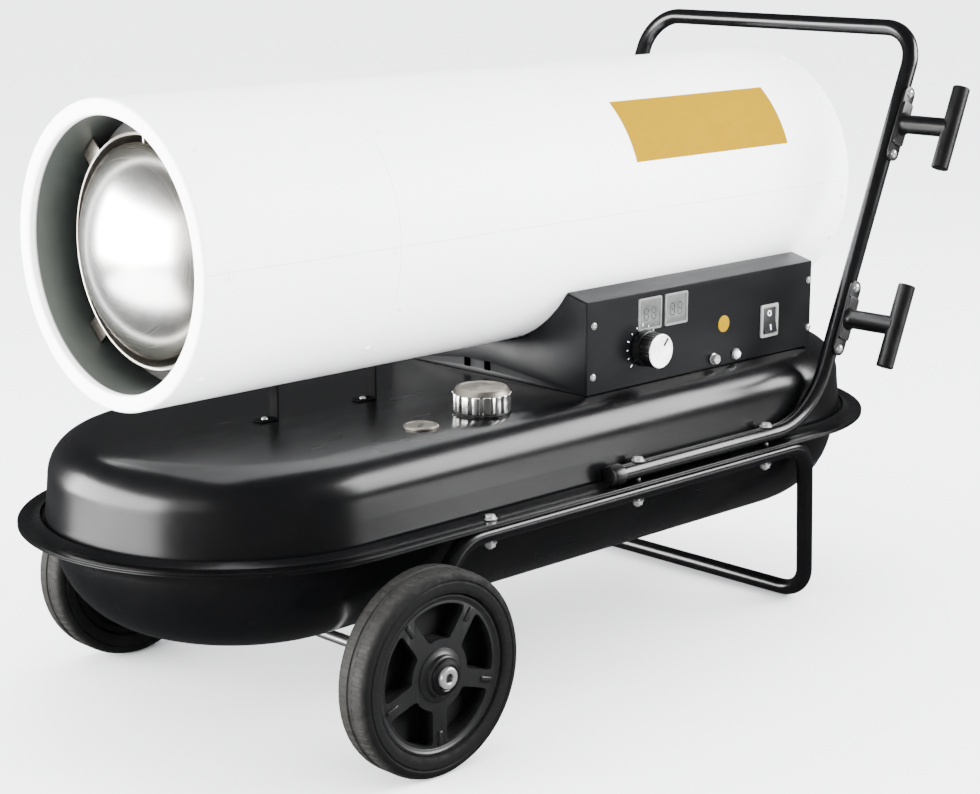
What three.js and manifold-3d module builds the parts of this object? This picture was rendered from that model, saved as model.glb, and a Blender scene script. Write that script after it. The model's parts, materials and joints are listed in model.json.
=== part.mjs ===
// A mobile forced air heater: a round casing with a combustion drum and a fan, on a flanged fuel tank
// with two wheels, a bent tube stand and a bent tube handle.
// Millimetres, +Z up. X runs along the air stream from the outlet plane at x = 0 to the intake, -Y is the
// left side with the controls, and z = 0 is the floor until the finished group is centred on its footprint.
import * as THREE from "three";
import { mergeVertices } from "three/addons/utils/BufferGeometryUtils.js";
import Module from "manifold-3d";

const wasm = await Module();
wasm.setup();

// ---------------------------------------------------------------- Driving dimensions

const GAP = 0.3; // between pieces that touch
const SHEET = 1.5; // sheet of the casing, the drum and the control box

// Fuel tank: two pressed pans with round ends, flanged together
const TANK_LENGTH = 1073;
const TANK_WIDTH = 394;
const TANK_OVERHANG = 45; // of the tank's front wall, ahead of the outlet plane
const TANK_JOINT_Z = 220;
const UPPER_PAN_DEPTH = 87.5;
const LOWER_PAN_DEPTH = 108;
const PAN_WALL = 1.6;
const SHOULDER_RADIUS = 42;
const BELLY_RADIUS = 98;
const UPPER_DRAFT = 4;
const LOWER_DRAFT = 7;
const FLANGE_WIDTH = 27.5;
const FLANGE_THICKNESS = 2;

// Tank fittings
const FILLER_X = 371;
const FILLER_Y = -127;
const NECK_RADIUS = 25;
const NECK_WALL = 3;
const NECK_HEIGHT = 23;
const CAP_RADIUS = 31;
const CAP_HEIGHT = 25;
const CAP_TOP = 4.5;
const CAP_PLAY = 1.2;
const CAP_FLUTES = 10;
const CAP_FLUTE_RADIUS = 4.5;
const GAUGE_X = 281;
const GAUGE_Y = -131;
const GAUGE_RADIUS = 18.2;
const GAUGE_HEIGHT = 4.5;
const GAUGE_PLUG_RADIUS = 12;
const GAUGE_PIVOT_DEPTH = 20;
const FLOAT_ARM_LENGTH = 190;
const FLOAT_RADIUS = 16;
const FLOAT_WIDTH = 34;
const FLOAT_REST_ANGLE = 42; // below the horizontal, tank empty
const PICKUP_SETBACK = 50; // of the pickup and its hose, ahead of the fan
const PICKUP_FLANGE_RADIUS = 22;
const PICKUP_PIPE_RADIUS = 4;
const PICKUP_FILTER_RADIUS = 14;
const PICKUP_FILTER_LENGTH = 40;
const PICKUP_FLOOR_GAP = 6;

// Tube frame, one tube size for the stand and the handle
const TUBE_RADIUS = 9.5;
const TUBE_WALL = 1.5;
const TUBE_SIDES = 10;
const TUBE_BORE_SIDES = 5;
const BEND_STEPS = 4;
const RAIL_CLEARANCE = 1; // between the tank wall and the tubes beside it
const HANDLE_FRONT_X = 496;
const HANDLE_FOOT_X = 825;
const HANDLE_TOP_Z = 677;
const HANDLE_LEAN = 22.7;
const HANDLE_FOOT_BEND = 100;
const HANDLE_TOP_BEND = 45;
const PLUG_RADIUS = 12;
const PLUG_LENGTH = 16;
const PLUG_SPIGOT = 14;
const STAND_RISE_X = 268; // where the rails turn down to the axle
const STAND_TOP_X = 818; // where the rails turn down to the legs
const STAND_FOOT_X = 865;
const STAND_FOOT_Y = 178;
const STAND_RISE_BEND = 45;
const STAND_TOP_BEND = 40;
const STAND_FOOT_BEND = 40;
const LUG_RADIUS = 13;
const LUG_WIDTH = 20;
const BOLT_RADIUS = 3;
const BOLT_HEAD_RADIUS = 5.8;
const BOLT_HEAD_HEIGHT = 4;
const BOLT_NUT_HEIGHT = 5;
const FRONT_BOLT_X = 304; // through the flange and the stand only
const MIDDLE_BOLT_X = 526; // through the handle, the flange and the stand
const REAR_BOLT_X = 744;

// Cord hooks on the left leg of the handle
const UPPER_HOOK_Z = 570;
const LOWER_HOOK_Z = 351;
const HOOK_REACH = 80; // from the leg's centre line to the bar's
const HOOK_BAR_LENGTH = 98;
const HOOK_BAR_RADIUS = 10;
const HOOK_STEM_RADIUS = 11;
const HOOK_PLATE_LENGTH = 90;
const HOOK_PLATE_WIDTH = 20;
const HOOK_PLATE_THICKNESS = 6;

// Wheels
const AXLE_X = 181;
const AXLE_RADIUS = 6;
const WHEEL_RADIUS = 103.5;
const TYRE_WIDTH = 40;
const TYRE_BORE_RADIUS = 80;
const TYRE_SHOULDER = 7;
const RIM_WIDTH = 32;
const RIM_WALL = 5;
const HUB_FACE = 14; // from the tyre's middle to the spokes' outer face
const HUB_WEB = 4; // of the closed web behind the pockets
const SPOKE_COUNT = 5;
const SPOKE_WIDTH = 18;
const POCKET_DEPTH = 19;
const POCKET_INNER_RADIUS = 36;
const POCKET_OUTER_RADIUS = 71;
const HUB_RADIUS = 20;
const HUB_INNER_LENGTH = 32; // from the tyre's middle to the frame lug
const HUB_OUTER_LENGTH = 22;
const AXLE_NUT_RADIUS = 13;
const AXLE_NUT_LENGTH = 9;

// Casing
const CASING_RADIUS = 150;
const CASING_LENGTH = 963;
const CASING_LIFT = 41; // above the tank's top
const FRONT_SECTION_LENGTH = 240;
const LIP_WIDTH = 16.5; // of the outlet's rolled lip, from the casing's outside inwards
const LIP_DEPTH = 3;
const LINER_DEPTH = 70;
const COLLAR_DEPTH = 30;
const CASING_SIDES = 48;
const SUPPORT_FRONT_X = 198.5;
const SUPPORT_REAR_X = 332;
const SUPPORT_WIDTH = 14;
const SUPPORT_FOOT = 24;
const SUPPORT_SHEET = 2;

// Combustion drum
const DRUM_RADIUS = 113.5;
const DRUM_FRONT_X = 42;
const DRUM_LENGTH = 520;
const DRUM_BEAD = 2.5;
const DRUM_SIDES = 32;
const TAB_WIDTH = 24;
const TAB_SHEET = 2;
const TAB_FOOT = 18; // along the drum
const TAB_INSET = 5;
const DOME_RADIUS = 105;
const DOME_BULGE = 42;
const DOME_SKIRT = 14;
const DOME_STRUTS = 3;
const HEAD_SHEET = 2;
const HEAD_SLOT = 20; // of the ring of space around the head
const HEAD_LUGS = 4;
const HEAD_LUG_WIDTH = 16;
const HEAD_INSET = 6;
const HEAD_BORE = 18;
const HEAD_PORTS = 8;
const HEAD_PORT_RADIUS = 8;
const HEAD_PORT_CIRCLE = 55;
const NOZZLE_RADIUS = 14;
const NOZZLE_TIP_RADIUS = 8;
const NOZZLE_REACH = 22;
const NOZZLE_FLANGE_RADIUS = 27;
const NOZZLE_FLANGE = 5;
const NOZZLE_TAIL = 34;
const PROBE_BODY_RADIUS = 11;
const IGNITER_BODY = 26;
const IGNITER_REACH = 30;
const IGNITER_ROD_RADIUS = 3;
const PHOTOCELL_BODY = 20;
const PHOTOCELL_REACH = 6;
const PHOTOCELL_NOSE_RADIUS = 6;

// Fan, motor and air pump
const FAN_X = 690;
const FAN_RADIUS = 138;
const FAN_BLADES = 6;
const FAN_PITCH = 32;
const BLADE_CHORD = 46;
const BLADE_SHEET = 2.5;
const FAN_HUB_RADIUS = 24;
const FAN_HUB_LENGTH = 32;
const SHAFT_RADIUS = 5;
const SHAFT_LENGTH = 82;
const MOTOR_SPACING = 18; // between the fan's hub and the motor's nose
const MOTOR_RADIUS = 46;
const MOTOR_LENGTH = 108;
const MOTOR_NOSE_RADIUS = 18;
const MOTOR_NOSE = 8;
const BRACKET_OFFSET = 40; // of the bracket, behind the motor's front
const BRACKET_LENGTH = 24;
const BRACKET_WALL = 4;
const BRACKET_ARMS = 3;
const PUMP_RADIUS = 38;
const PUMP_LENGTH = 36;
const FILTER_RADIUS = 33;
const FILTER_LENGTH = 16;
const GUARD_SETBACK = 14; // of the rear guard, inside the casing's rear edge
const GUARD_WIRE = 3;
const GUARD_RINGS = 4;
const GUARD_RING_PITCH = 38;
const GUARD_BARS = 3;

// Control box
const BOX_FRONT_X = 499.5;
const BOX_LENGTH = 388;
const BOX_HALF_WIDTH = 156;
const PANEL_HEIGHT = 102;
const STRIP_RISE = 7.5; // of the sloping strip between the panel and the casing
const KNOB_X = 588.5;
const KNOB_Z = 348.5;
const KNOB_STANDOFF = 2;
const KNOB_BASE_RADIUS = 20.5;
const KNOB_BASE_DEPTH = 10;
const KNOB_GRIP_RADIUS = 19.5;
const KNOB_GRIP_DEPTH = 16;
const KNOB_SHAFT_RADIUS = 3;
const KNOB_SHAFT_REACH = 13;
const THERMOSTAT_RADIUS = 14;
const THERMOSTAT_DEPTH = 20;
const SWITCH_X = 808;
const SWITCH_Z = 349;
const SWITCH_WIDTH = 31.5;
const SWITCH_HEIGHT = 38.5;
const SWITCH_BEZEL = 2.5;
const SWITCH_RIM = 4;
const SWITCH_DEPTH = 26;
const SWITCH_RECESS = 9;
const ROCKER_PLAY = 0.6;
const ROCKER_TILT = 8; // each way from the middle; it rests in the off position
const ROCKER_PROUD = 3.4;
const DISPLAY_X = 599.8;
const DISPLAY_Z = 385;
const DISPLAY_PITCH = 43.7;
const DISPLAY_WIDTH = 38;
const DISPLAY_HEIGHT = 36;
const DISPLAY_PROUD = 1.2;
const DISPLAY_DEPTH = 8;
const FUSE_X = 709.5;
const BUTTON_X = 748.7;
const FITTING_Z = 318; // of the fuse holder and the reset button
const FITTING_RADIUS = 6.5;
const FITTING_BORE_RADIUS = 5.5;
const FUSE_CAP_LENGTH = 7;
const FUSE_DEPTH = 26;
const BUTTON_RADIUS = 4;
const BUTTON_PROUD = 6;
const BUTTON_TRAVEL = 3;
const BOARD_X = 540;
const BOARD_LENGTH = 120;
const BOARD_HEIGHT = 70;
const BOARD_STANDOFF = 10;
const BOARD_SHEET = 1.6;
const BOARD_LIFT = 12; // above the tank
const BOARD_MARGIN = 8;
const BOARD_POST_RADIUS = 3;
const RELAY_LENGTH = 20;
const RELAY_HEIGHT = 28;
const RELAY_DEPTH = 15;
const CAPACITOR_RADIUS = 9;
const CAPACITOR_DEPTH = 22;
const TERMINALS_LENGTH = 12;
const TERMINALS_HEIGHT = 56;
const TERMINALS_DEPTH = 11;
const TRANSFORMER_X = 760;
const TRANSFORMER_Y = 55;
const TRANSFORMER_LENGTH = 72;
const TRANSFORMER_WIDTH = 56;
const TRANSFORMER_HEIGHT = 30;
const HOSE_RADIUS = 4;
const HOSE_BEND = 16;
const HOSE_SIDES = 8;
const HOSE_RUN_Y = -45;
const HOSE_RUN_LIFT = 20; // of the air hose, above the tank inside the box
const NIPPLE_LENGTH = 12;

// ---------------------------------------------------------------- Places worked out from them

const TANK_FRONT = -TANK_OVERHANG;
const TANK_REAR = TANK_FRONT + TANK_LENGTH;
const TANK_TOP_Z = TANK_JOINT_Z + GAP / 2 + UPPER_PAN_DEPTH;
const TANK_BOTTOM_Z = TANK_JOINT_Z - GAP / 2 - LOWER_PAN_DEPTH;
const FLANGE_TOP_Z = TANK_JOINT_Z + GAP / 2 + FLANGE_THICKNESS;
const FLANGE_BOTTOM_Z = TANK_JOINT_Z - GAP / 2 - FLANGE_THICKNESS;
const RAIL_Y = TANK_WIDTH / 2 + RAIL_CLEARANCE + TUBE_RADIUS;
const HANDLE_RAIL_Z = FLANGE_TOP_Z + GAP + TUBE_RADIUS;
const STAND_RAIL_Z = FLANGE_BOTTOM_Z - GAP - TUBE_RADIUS;
const AXLE_Z = WHEEL_RADIUS;
const WHEEL_Y = RAIL_Y + LUG_WIDTH / 2 + GAP + HUB_INNER_LENGTH;
const AXIS_Z = TANK_TOP_Z + CASING_LIFT + CASING_RADIUS;
const CASING_BORE_RADIUS = apothem(CASING_RADIUS - SHEET, CASING_SIDES);
const OUTLET_RADIUS = CASING_RADIUS - LIP_WIDTH;
const LIP_RADIUS = LIP_WIDTH / 2;
const DRUM_REAR_X = DRUM_FRONT_X + DRUM_LENGTH;
const DRUM_BORE_RADIUS = apothem(DRUM_RADIUS - SHEET, DRUM_SIDES);
const HEAD_X = DRUM_REAR_X - HEAD_INSET - HEAD_SHEET;
const HEAD_BACK_X = HEAD_X + HEAD_SHEET + GAP;
const PICKUP_X = FAN_X - PICKUP_SETBACK;
const MOTOR_X = FAN_X + FAN_HUB_LENGTH + MOTOR_SPACING + MOTOR_NOSE;
const PUMP_X = MOTOR_X + MOTOR_LENGTH + GAP;
const BOX_REAR_X = BOX_FRONT_X + BOX_LENGTH;
const PANEL_TOP_Z = TANK_TOP_Z + PANEL_HEIGHT;

// ---------------------------------------------------------------- Materials

function finish(color, roughness, metalness) {
  return new THREE.MeshStandardMaterial({ color, roughness, metalness });
}

const FINISH = {
  whiteEnamel: finish(0xf1f1ef, 0.3, 0),
  blackEnamel: finish(0x0c0d0f, 0.18, 0),
  blackTube: finish(0x101113, 0.35, 0),
  blackPlastic: finish(0x161617, 0.5, 0),
  greyPlastic: finish(0x8d8f90, 0.45, 0),
  redPlastic: finish(0x9c1f1a, 0.4, 0),
  rubber: finish(0x3a3935, 0.9, 0),
  stainless: finish(0xd9d7d2, 0.22, 1),
  steel: finish(0xb4b5b6, 0.35, 1),
  zinc: finish(0xc9cac8, 0.3, 1),
  aluminium: finish(0xbfc1c2, 0.4, 1),
  ceramic: finish(0xe6e1d6, 0.6, 0),
  board: finish(0x1f5a34, 0.5, 0),
};

// ---------------------------------------------------------------- Shape tools

// The distance from the centre of a regular polygon to the middle of a side.
function apothem(radius, sides) {
  return radius * Math.cos(Math.PI / sides);
}

const radians = THREE.MathUtils.degToRad;

function toSolid(geometry) {
  const bare = new THREE.BufferGeometry().setAttribute("position", geometry.getAttribute("position"));
  if (geometry.index) bare.setIndex(geometry.index);
  const merged = mergeVertices(bare, 1e-4);
  const vertProperties = merged.attributes.position.array;
  const triVerts = new Uint32Array(merged.index.array);
  return new wasm.Manifold(new wasm.Mesh({ numProp: 3, vertProperties, triVerts }));
}

function toGeometry(solid) {
  const { vertProperties, triVerts } = solid.getMesh();
  const geometry = new THREE.BufferGeometry();
  geometry.setAttribute("position", new THREE.BufferAttribute(new Float32Array(vertProperties), 3));
  geometry.setIndex(new THREE.BufferAttribute(new Uint32Array(triVerts), 1));
  geometry.computeVertexNormals();
  return geometry;
}

function joined(...geometries) {
  return toGeometry(geometries.map(toSolid).reduce((whole, piece) => whole.add(piece)));
}

function cut(body, ...tools) {
  return toGeometry(tools.map(toSolid).reduce((rest, tool) => rest.subtract(tool), toSolid(body)));
}

function moved(geometry, x, y, z) {
  return geometry.clone().translate(x, y, z);
}

// A turned body about +Y, from a profile of [radius, height] that starts and ends on the axis or is a loop.
function turned(profile, sides) {
  const points = profile.map(([radius, height]) => new THREE.Vector2(radius, height));
  if (THREE.ShapeUtils.area(points) < 0) points.reverse();
  const loop = points[0].x > 0 || points.at(-1).x > 0;
  return new THREE.LatheGeometry(loop ? [...points, points[0].clone()] : points, sides);
}

const turnedAlongX = (profile, sides) => turned(profile, sides).rotateZ(-Math.PI / 2);
const turnedAlongZ = (profile, sides) => turned(profile, sides).rotateX(Math.PI / 2);

// A solid round bar between two heights along Z, Y or X.
const barAlongY = (radius, low, high, sides) => turned([[0, low], [radius, low], [radius, high], [0, high]], sides);
const barAlongZ = (radius, low, high, sides) => barAlongY(radius, low, high, sides).rotateX(Math.PI / 2);
const barAlongX = (radius, low, high, sides) => barAlongY(radius, low, high, sides).rotateZ(-Math.PI / 2);

// A box from its low and high corners.
function block(low, high) {
  const size = high.map((value, axis) => value - low[axis]);
  const middle = high.map((value, axis) => (value + low[axis]) / 2);
  return new THREE.BoxGeometry(...size).translate(...middle);
}

function outline(points) {
  return new THREE.Shape(points.map(([x, y]) => new THREE.Vector2(x, y)));
}

function extruded(shape, depth, curveSegments = 12) {
  return new THREE.ExtrudeGeometry(shape, { depth, bevelEnabled: false, curveSegments });
}

// An outline drawn in the YZ plane, thickened from x = from to x = to.
function plateAcrossX(shape, from, to, curveSegments) {
  const turn = new THREE.Matrix4().makeBasis(
    new THREE.Vector3(0, 1, 0),
    new THREE.Vector3(0, 0, 1),
    new THREE.Vector3(1, 0, 0),
  );
  return extruded(shape, to - from, curveSegments).applyMatrix4(turn).translate(from, 0, 0);
}

// An outline drawn in the XZ plane, thickened from y = from to y = to.
function plateAcrossY(shape, from, to, curveSegments) {
  return extruded(shape, to - from, curveSegments).rotateX(Math.PI / 2).translate(0, to, 0);
}

// A closed body through stacked outlines of equal point counts, each running anticlockwise seen from +Z.
function lofted(outlines) {
  const count = outlines[0].length;
  const last = (outlines.length - 1) * count;
  const index = [];
  for (let start = 0; start < last; start += count) {
    for (let i = 0; i < count; i++) {
      const [a, b] = [start + i, start + ((i + 1) % count)];
      index.push(a, b, b + count, a, b + count, a + count);
    }
  }
  for (let i = 1; i < count - 1; i++) {
    index.push(0, i + 1, i);
    index.push(last, last + i, last + i + 1);
  }
  return new THREE.BufferGeometry().setFromPoints(outlines.flat()).setIndex(index);
}

function flippedInZ(geometry) {
  const index = Array.from(geometry.index.array);
  for (let i = 0; i < index.length; i += 3) [index[i], index[i + 1]] = [index[i + 1], index[i]];
  return geometry.clone().scale(1, 1, -1).setIndex(index);
}

// A bent tube's centre line: straight runs joined by round bends, with stations only where it turns.
class BentLine extends THREE.Curve {
  constructor(corners, bends) {
    super();
    this.stations = [];
    corners.forEach((corner, i) => this.addCorner(corners[i - 1], corner, corners[i + 1], bends[i]));
  }

  addCorner(before, corner, after, radius) {
    const arriving = before && corner.clone().sub(before).normalize();
    const leaving = after && after.clone().sub(corner).normalize();
    if (!before || !after) {
      this.stations.push({ point: corner, tangent: leaving ?? arriving });
      return;
    }
    const turn = arriving.angleTo(leaving);
    const start = corner.clone().addScaledVector(arriving, -radius * Math.tan(turn / 2));
    const inward = leaving.clone().addScaledVector(arriving, -leaving.dot(arriving)).normalize();
    for (let step = 0; step <= BEND_STEPS; step++) {
      const angle = (turn * step) / BEND_STEPS;
      const point = start.clone();
      point.addScaledVector(arriving, radius * Math.sin(angle));
      point.addScaledVector(inward, radius * (1 - Math.cos(angle)));
      const tangent = arriving.clone().multiplyScalar(Math.cos(angle));
      this.stations.push({ point, tangent: tangent.addScaledVector(inward, Math.sin(angle)) });
    }
  }

  get steps() {
    return this.stations.length - 1;
  }

  getPointAt(share) {
    return this.stations[Math.round(share * this.steps)].point.clone();
  }

  getTangentAt(share) {
    return this.stations[Math.round(share * this.steps)].tangent.clone();
  }
}

function polygon(radius, sides) {
  const corners = [];
  for (let i = 0; i < sides; i++) {
    const angle = (2 * Math.PI * (i + 0.5)) / sides;
    corners.push([radius * Math.cos(angle), radius * Math.sin(angle)]);
  }
  return corners;
}

function tube(line, radius, sides, wall = 0, boreSides = sides) {
  const section = outline(polygon(radius, sides));
  if (wall > 0) section.holes.push(outline(polygon(radius - wall, boreSides)));
  return new THREE.ExtrudeGeometry(section, { steps: line.steps, extrudePath: line, bevelEnabled: false });
}

const point = (x, y, z) => new THREE.Vector3(x, y, z);

function named(name, geometry, material) {
  const mesh = new THREE.Mesh(geometry, material);
  mesh.name = name;
  return mesh;
}

function groupAt(x, y, z, ...children) {
  const group = new THREE.Group();
  group.position.set(x, y, z);
  group.add(...children);
  return group;
}

// ---------------------------------------------------------------- Fuel tank

const TANK_END_STEPS = 12;
const SHOULDER_STEPS = 4;

// The tank's outline in plan, moved inwards by an inset.
function tankOutline(inset, height) {
  const radius = TANK_WIDTH / 2 - inset;
  const points = [];
  for (const [centre, from] of [[TANK_REAR - TANK_WIDTH / 2, -90], [TANK_FRONT + TANK_WIDTH / 2, 90]]) {
    for (let step = 0; step <= TANK_END_STEPS; step++) {
      const angle = radians(from + (180 * step) / TANK_END_STEPS);
      points.push(point(centre + radius * Math.cos(angle), radius * Math.sin(angle), height));
    }
  }
  return points;
}

// A pressed pan standing on its flange: inside from the ceiling down, round the flange, and up the outside.
function panBody(depth, draft, cornerRadius) {
  const corner = (radius, step) => {
    const angle = (Math.PI / 2) * (step / SHOULDER_STEPS);
    const inset = draft + cornerRadius - radius * Math.cos(angle);
    return tankOutline(inset, depth - cornerRadius + radius * Math.sin(angle));
  };
  const steps = [...Array(SHOULDER_STEPS + 1).keys()];
  return lofted([
    ...steps.toReversed().map((step) => corner(cornerRadius - PAN_WALL, step)),
    tankOutline(PAN_WALL, 0),
    tankOutline(-FLANGE_WIDTH, 0),
    tankOutline(-FLANGE_WIDTH, FLANGE_THICKNESS),
    tankOutline(0, FLANGE_THICKNESS),
    ...steps.map((step) => corner(cornerRadius, step)),
  ]);
}

function flangeHoles() {
  const reach = FLANGE_THICKNESS + 2 * GAP;
  return [FRONT_BOLT_X, MIDDLE_BOLT_X, REAR_BOLT_X].flatMap((x) =>
    [-RAIL_Y, RAIL_Y].map((y) => moved(barAlongZ(BOLT_RADIUS + GAP, -reach, reach, 6), x, y, 0)),
  );
}

function upperPan() {
  const top = UPPER_PAN_DEPTH;
  const neck = moved(barAlongZ(NECK_RADIUS, top - PAN_WALL, top + NECK_HEIGHT, 16), FILLER_X, FILLER_Y, 0);
  const drill = (radius, x, y) => {
    const length = PAN_WALL + NECK_HEIGHT;
    return moved(barAlongZ(radius, top - length, top + length, 16), x, y, 0);
  };
  return cut(
    joined(panBody(UPPER_PAN_DEPTH, UPPER_DRAFT, SHOULDER_RADIUS), neck),
    drill(NECK_RADIUS - NECK_WALL, FILLER_X, FILLER_Y),
    drill(GAUGE_PLUG_RADIUS + GAP, GAUGE_X, GAUGE_Y),
    drill(PICKUP_FILTER_RADIUS + GAP, PICKUP_X, 0),
    ...flangeHoles(),
  );
}

function lowerPan() {
  return flippedInZ(cut(panBody(LOWER_PAN_DEPTH, LOWER_DRAFT, BELLY_RADIUS), ...flangeHoles()));
}

function fuelCap() {
  const bottom = NECK_HEIGHT + GAP + CAP_TOP - CAP_HEIGHT;
  const ceiling = NECK_HEIGHT + GAP;
  const bore = NECK_RADIUS + CAP_PLAY;
  const profile = [
    [0, ceiling],
    [bore, ceiling],
    [bore, bottom],
    [CAP_RADIUS, bottom],
    [CAP_RADIUS, ceiling + CAP_TOP - 2],
    [CAP_RADIUS - 2, ceiling + CAP_TOP],
    [0, ceiling + CAP_TOP],
  ];
  const flutes = [...Array(CAP_FLUTES).keys()].map((i) => {
    const angle = (2 * Math.PI * i) / CAP_FLUTES;
    const reach = CAP_RADIUS + CAP_FLUTE_RADIUS / 2;
    const tool = barAlongZ(CAP_FLUTE_RADIUS, bottom - 1, ceiling + CAP_TOP + 1, 6);
    return moved(tool, reach * Math.cos(angle), reach * Math.sin(angle), 0);
  });
  return cut(turnedAlongZ(profile, 20), ...flutes);
}

const PIVOT_RADIUS = 1.5;
const FLOAT_HUB_WIDTH = 5;

// A dial plug with a stem that ends in the pin the float arm turns on.
function fuelGauge() {
  const stemRadius = 3.5;
  const body = turnedAlongZ(
    [
      [0, -GAUGE_PIVOT_DEPTH - stemRadius],
      [stemRadius, -GAUGE_PIVOT_DEPTH - stemRadius],
      [stemRadius, -PAN_WALL - 6],
      [GAUGE_PLUG_RADIUS, -PAN_WALL - 6],
      [GAUGE_PLUG_RADIUS, GAP],
      [GAUGE_RADIUS, GAP],
      [GAUGE_RADIUS, GAUGE_HEIGHT - 1.5],
      [GAUGE_RADIUS - 2.5, GAUGE_HEIGHT],
      [0, GAUGE_HEIGHT],
    ],
    16,
  );
  const pin = barAlongY(PIVOT_RADIUS, 0, stemRadius + FLOAT_HUB_WIDTH + 2 * GAP, 10);
  return joined(body, moved(pin, 0, 0, -GAUGE_PIVOT_DEPTH));
}

// The float arm about its own pivot, lying in the XZ plane beside the gauge's stem.
function fuelFloat() {
  const near = 3.5 + GAP;
  const hub = turned([[PIVOT_RADIUS + GAP, near], [5, near], [5, near + FLOAT_HUB_WIDTH], [PIVOT_RADIUS + GAP, near + FLOAT_HUB_WIDTH]], 16);
  const arm = moved(barAlongX(2, 3.5, FLOAT_ARM_LENGTH - FLOAT_RADIUS + 2, 8), 0, near + FLOAT_HUB_WIDTH / 2, 0);
  const half = FLOAT_WIDTH / 2;
  const float = moved(barAlongY(FLOAT_RADIUS, -half, half, 20), FLOAT_ARM_LENGTH, near + FLOAT_HUB_WIDTH / 2, 0);
  return joined(hub, arm, float).rotateY(radians(FLOAT_REST_ANGLE));
}

function fuelPickup() {
  const filterBottom = TANK_BOTTOM_Z + PAN_WALL + PICKUP_FLOOR_GAP - TANK_TOP_Z;
  const filterTop = filterBottom + PICKUP_FILTER_LENGTH;
  return turnedAlongZ(
    [
      [0, filterBottom],
      [PICKUP_FILTER_RADIUS, filterBottom],
      [PICKUP_FILTER_RADIUS, filterTop],
      [PICKUP_PIPE_RADIUS, filterTop + 4],
      [PICKUP_PIPE_RADIUS, GAP],
      [PICKUP_FLANGE_RADIUS, GAP],
      [PICKUP_FLANGE_RADIUS, GAP + 3],
      [PICKUP_PIPE_RADIUS, GAP + 3],
      [PICKUP_PIPE_RADIUS, NIPPLE_LENGTH],
      [0, NIPPLE_LENGTH],
    ],
    12,
  );
}

function tank() {
  const float = named("fuel_float", fuelFloat(), FINISH.blackPlastic);
  float.position.z = -GAUGE_PIVOT_DEPTH;
  const group = new THREE.Group();
  group.add(
    groupAt(0, 0, TANK_JOINT_Z + GAP / 2, named("tank_upper_pan", upperPan(), FINISH.blackEnamel)),
    groupAt(0, 0, TANK_JOINT_Z - GAP / 2, named("tank_lower_pan", lowerPan(), FINISH.blackEnamel)),
    groupAt(FILLER_X, FILLER_Y, TANK_TOP_Z, named("fuel_cap", fuelCap(), FINISH.zinc)),
    groupAt(GAUGE_X, GAUGE_Y, TANK_TOP_Z, named("fuel_gauge", fuelGauge(), FINISH.zinc), float),
    groupAt(PICKUP_X, 0, TANK_TOP_Z, named("fuel_pickup", fuelPickup(), FINISH.zinc)),
  );
  return group;
}

// ---------------------------------------------------------------- Handle, stand and their bolts

// A left half's corners and bends, followed by the same on the right side.
function bothSides(corners, bends) {
  const right = corners.toReversed().map(({ x, y, z }) => point(x, -y, z));
  return new BentLine([...corners, ...right], [...bends, ...bends.toReversed()]);
}

function boltTool(x, y) {
  const reach = HANDLE_RAIL_Z - TANK_JOINT_Z + 2 * TUBE_RADIUS;
  return moved(barAlongZ(BOLT_RADIUS + GAP, -reach, reach, 6), x, y, TANK_JOINT_Z);
}

function boltTools(...stations) {
  return stations.flatMap((x) => [boltTool(x, -RAIL_Y), boltTool(x, RAIL_Y)]);
}

function handleTube() {
  const topX = HANDLE_FOOT_X + (HANDLE_TOP_Z - HANDLE_RAIL_Z) * Math.tan(radians(HANDLE_LEAN));
  const corners = [
    point(HANDLE_FRONT_X, -RAIL_Y, HANDLE_RAIL_Z),
    point(HANDLE_FOOT_X, -RAIL_Y, HANDLE_RAIL_Z),
    point(topX, -RAIL_Y, HANDLE_TOP_Z),
  ];
  const line = bothSides(corners, [0, HANDLE_FOOT_BEND, HANDLE_TOP_BEND]);
  const body = tube(line, TUBE_RADIUS, TUBE_SIDES, TUBE_WALL, TUBE_BORE_SIDES);
  return cut(body, ...boltTools(MIDDLE_BOLT_X, REAR_BOLT_X));
}

function standFrame() {
  const corners = [
    point(AXLE_X, -RAIL_Y, AXLE_Z),
    point(STAND_RISE_X, -RAIL_Y, STAND_RAIL_Z),
    point(STAND_TOP_X, -RAIL_Y, STAND_RAIL_Z),
    point(STAND_FOOT_X, -STAND_FOOT_Y, TUBE_RADIUS),
  ];
  const line = bothSides(corners, [0, STAND_RISE_BEND, STAND_TOP_BEND, STAND_FOOT_BEND]);
  const body = tube(line, TUBE_RADIUS, TUBE_SIDES, TUBE_WALL, TUBE_BORE_SIDES);
  const lugs = [-RAIL_Y, RAIL_Y].map((y) =>
    moved(barAlongY(LUG_RADIUS, -LUG_WIDTH / 2, LUG_WIDTH / 2, 14), AXLE_X, y, AXLE_Z),
  );
  const axleBore = moved(barAlongY(AXLE_RADIUS + GAP, -WHEEL_Y, WHEEL_Y, 12), AXLE_X, 0, AXLE_Z);
  return cut(joined(body, ...lugs), axleBore, ...boltTools(FRONT_BOLT_X, MIDDLE_BOLT_X, REAR_BOLT_X));
}

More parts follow.
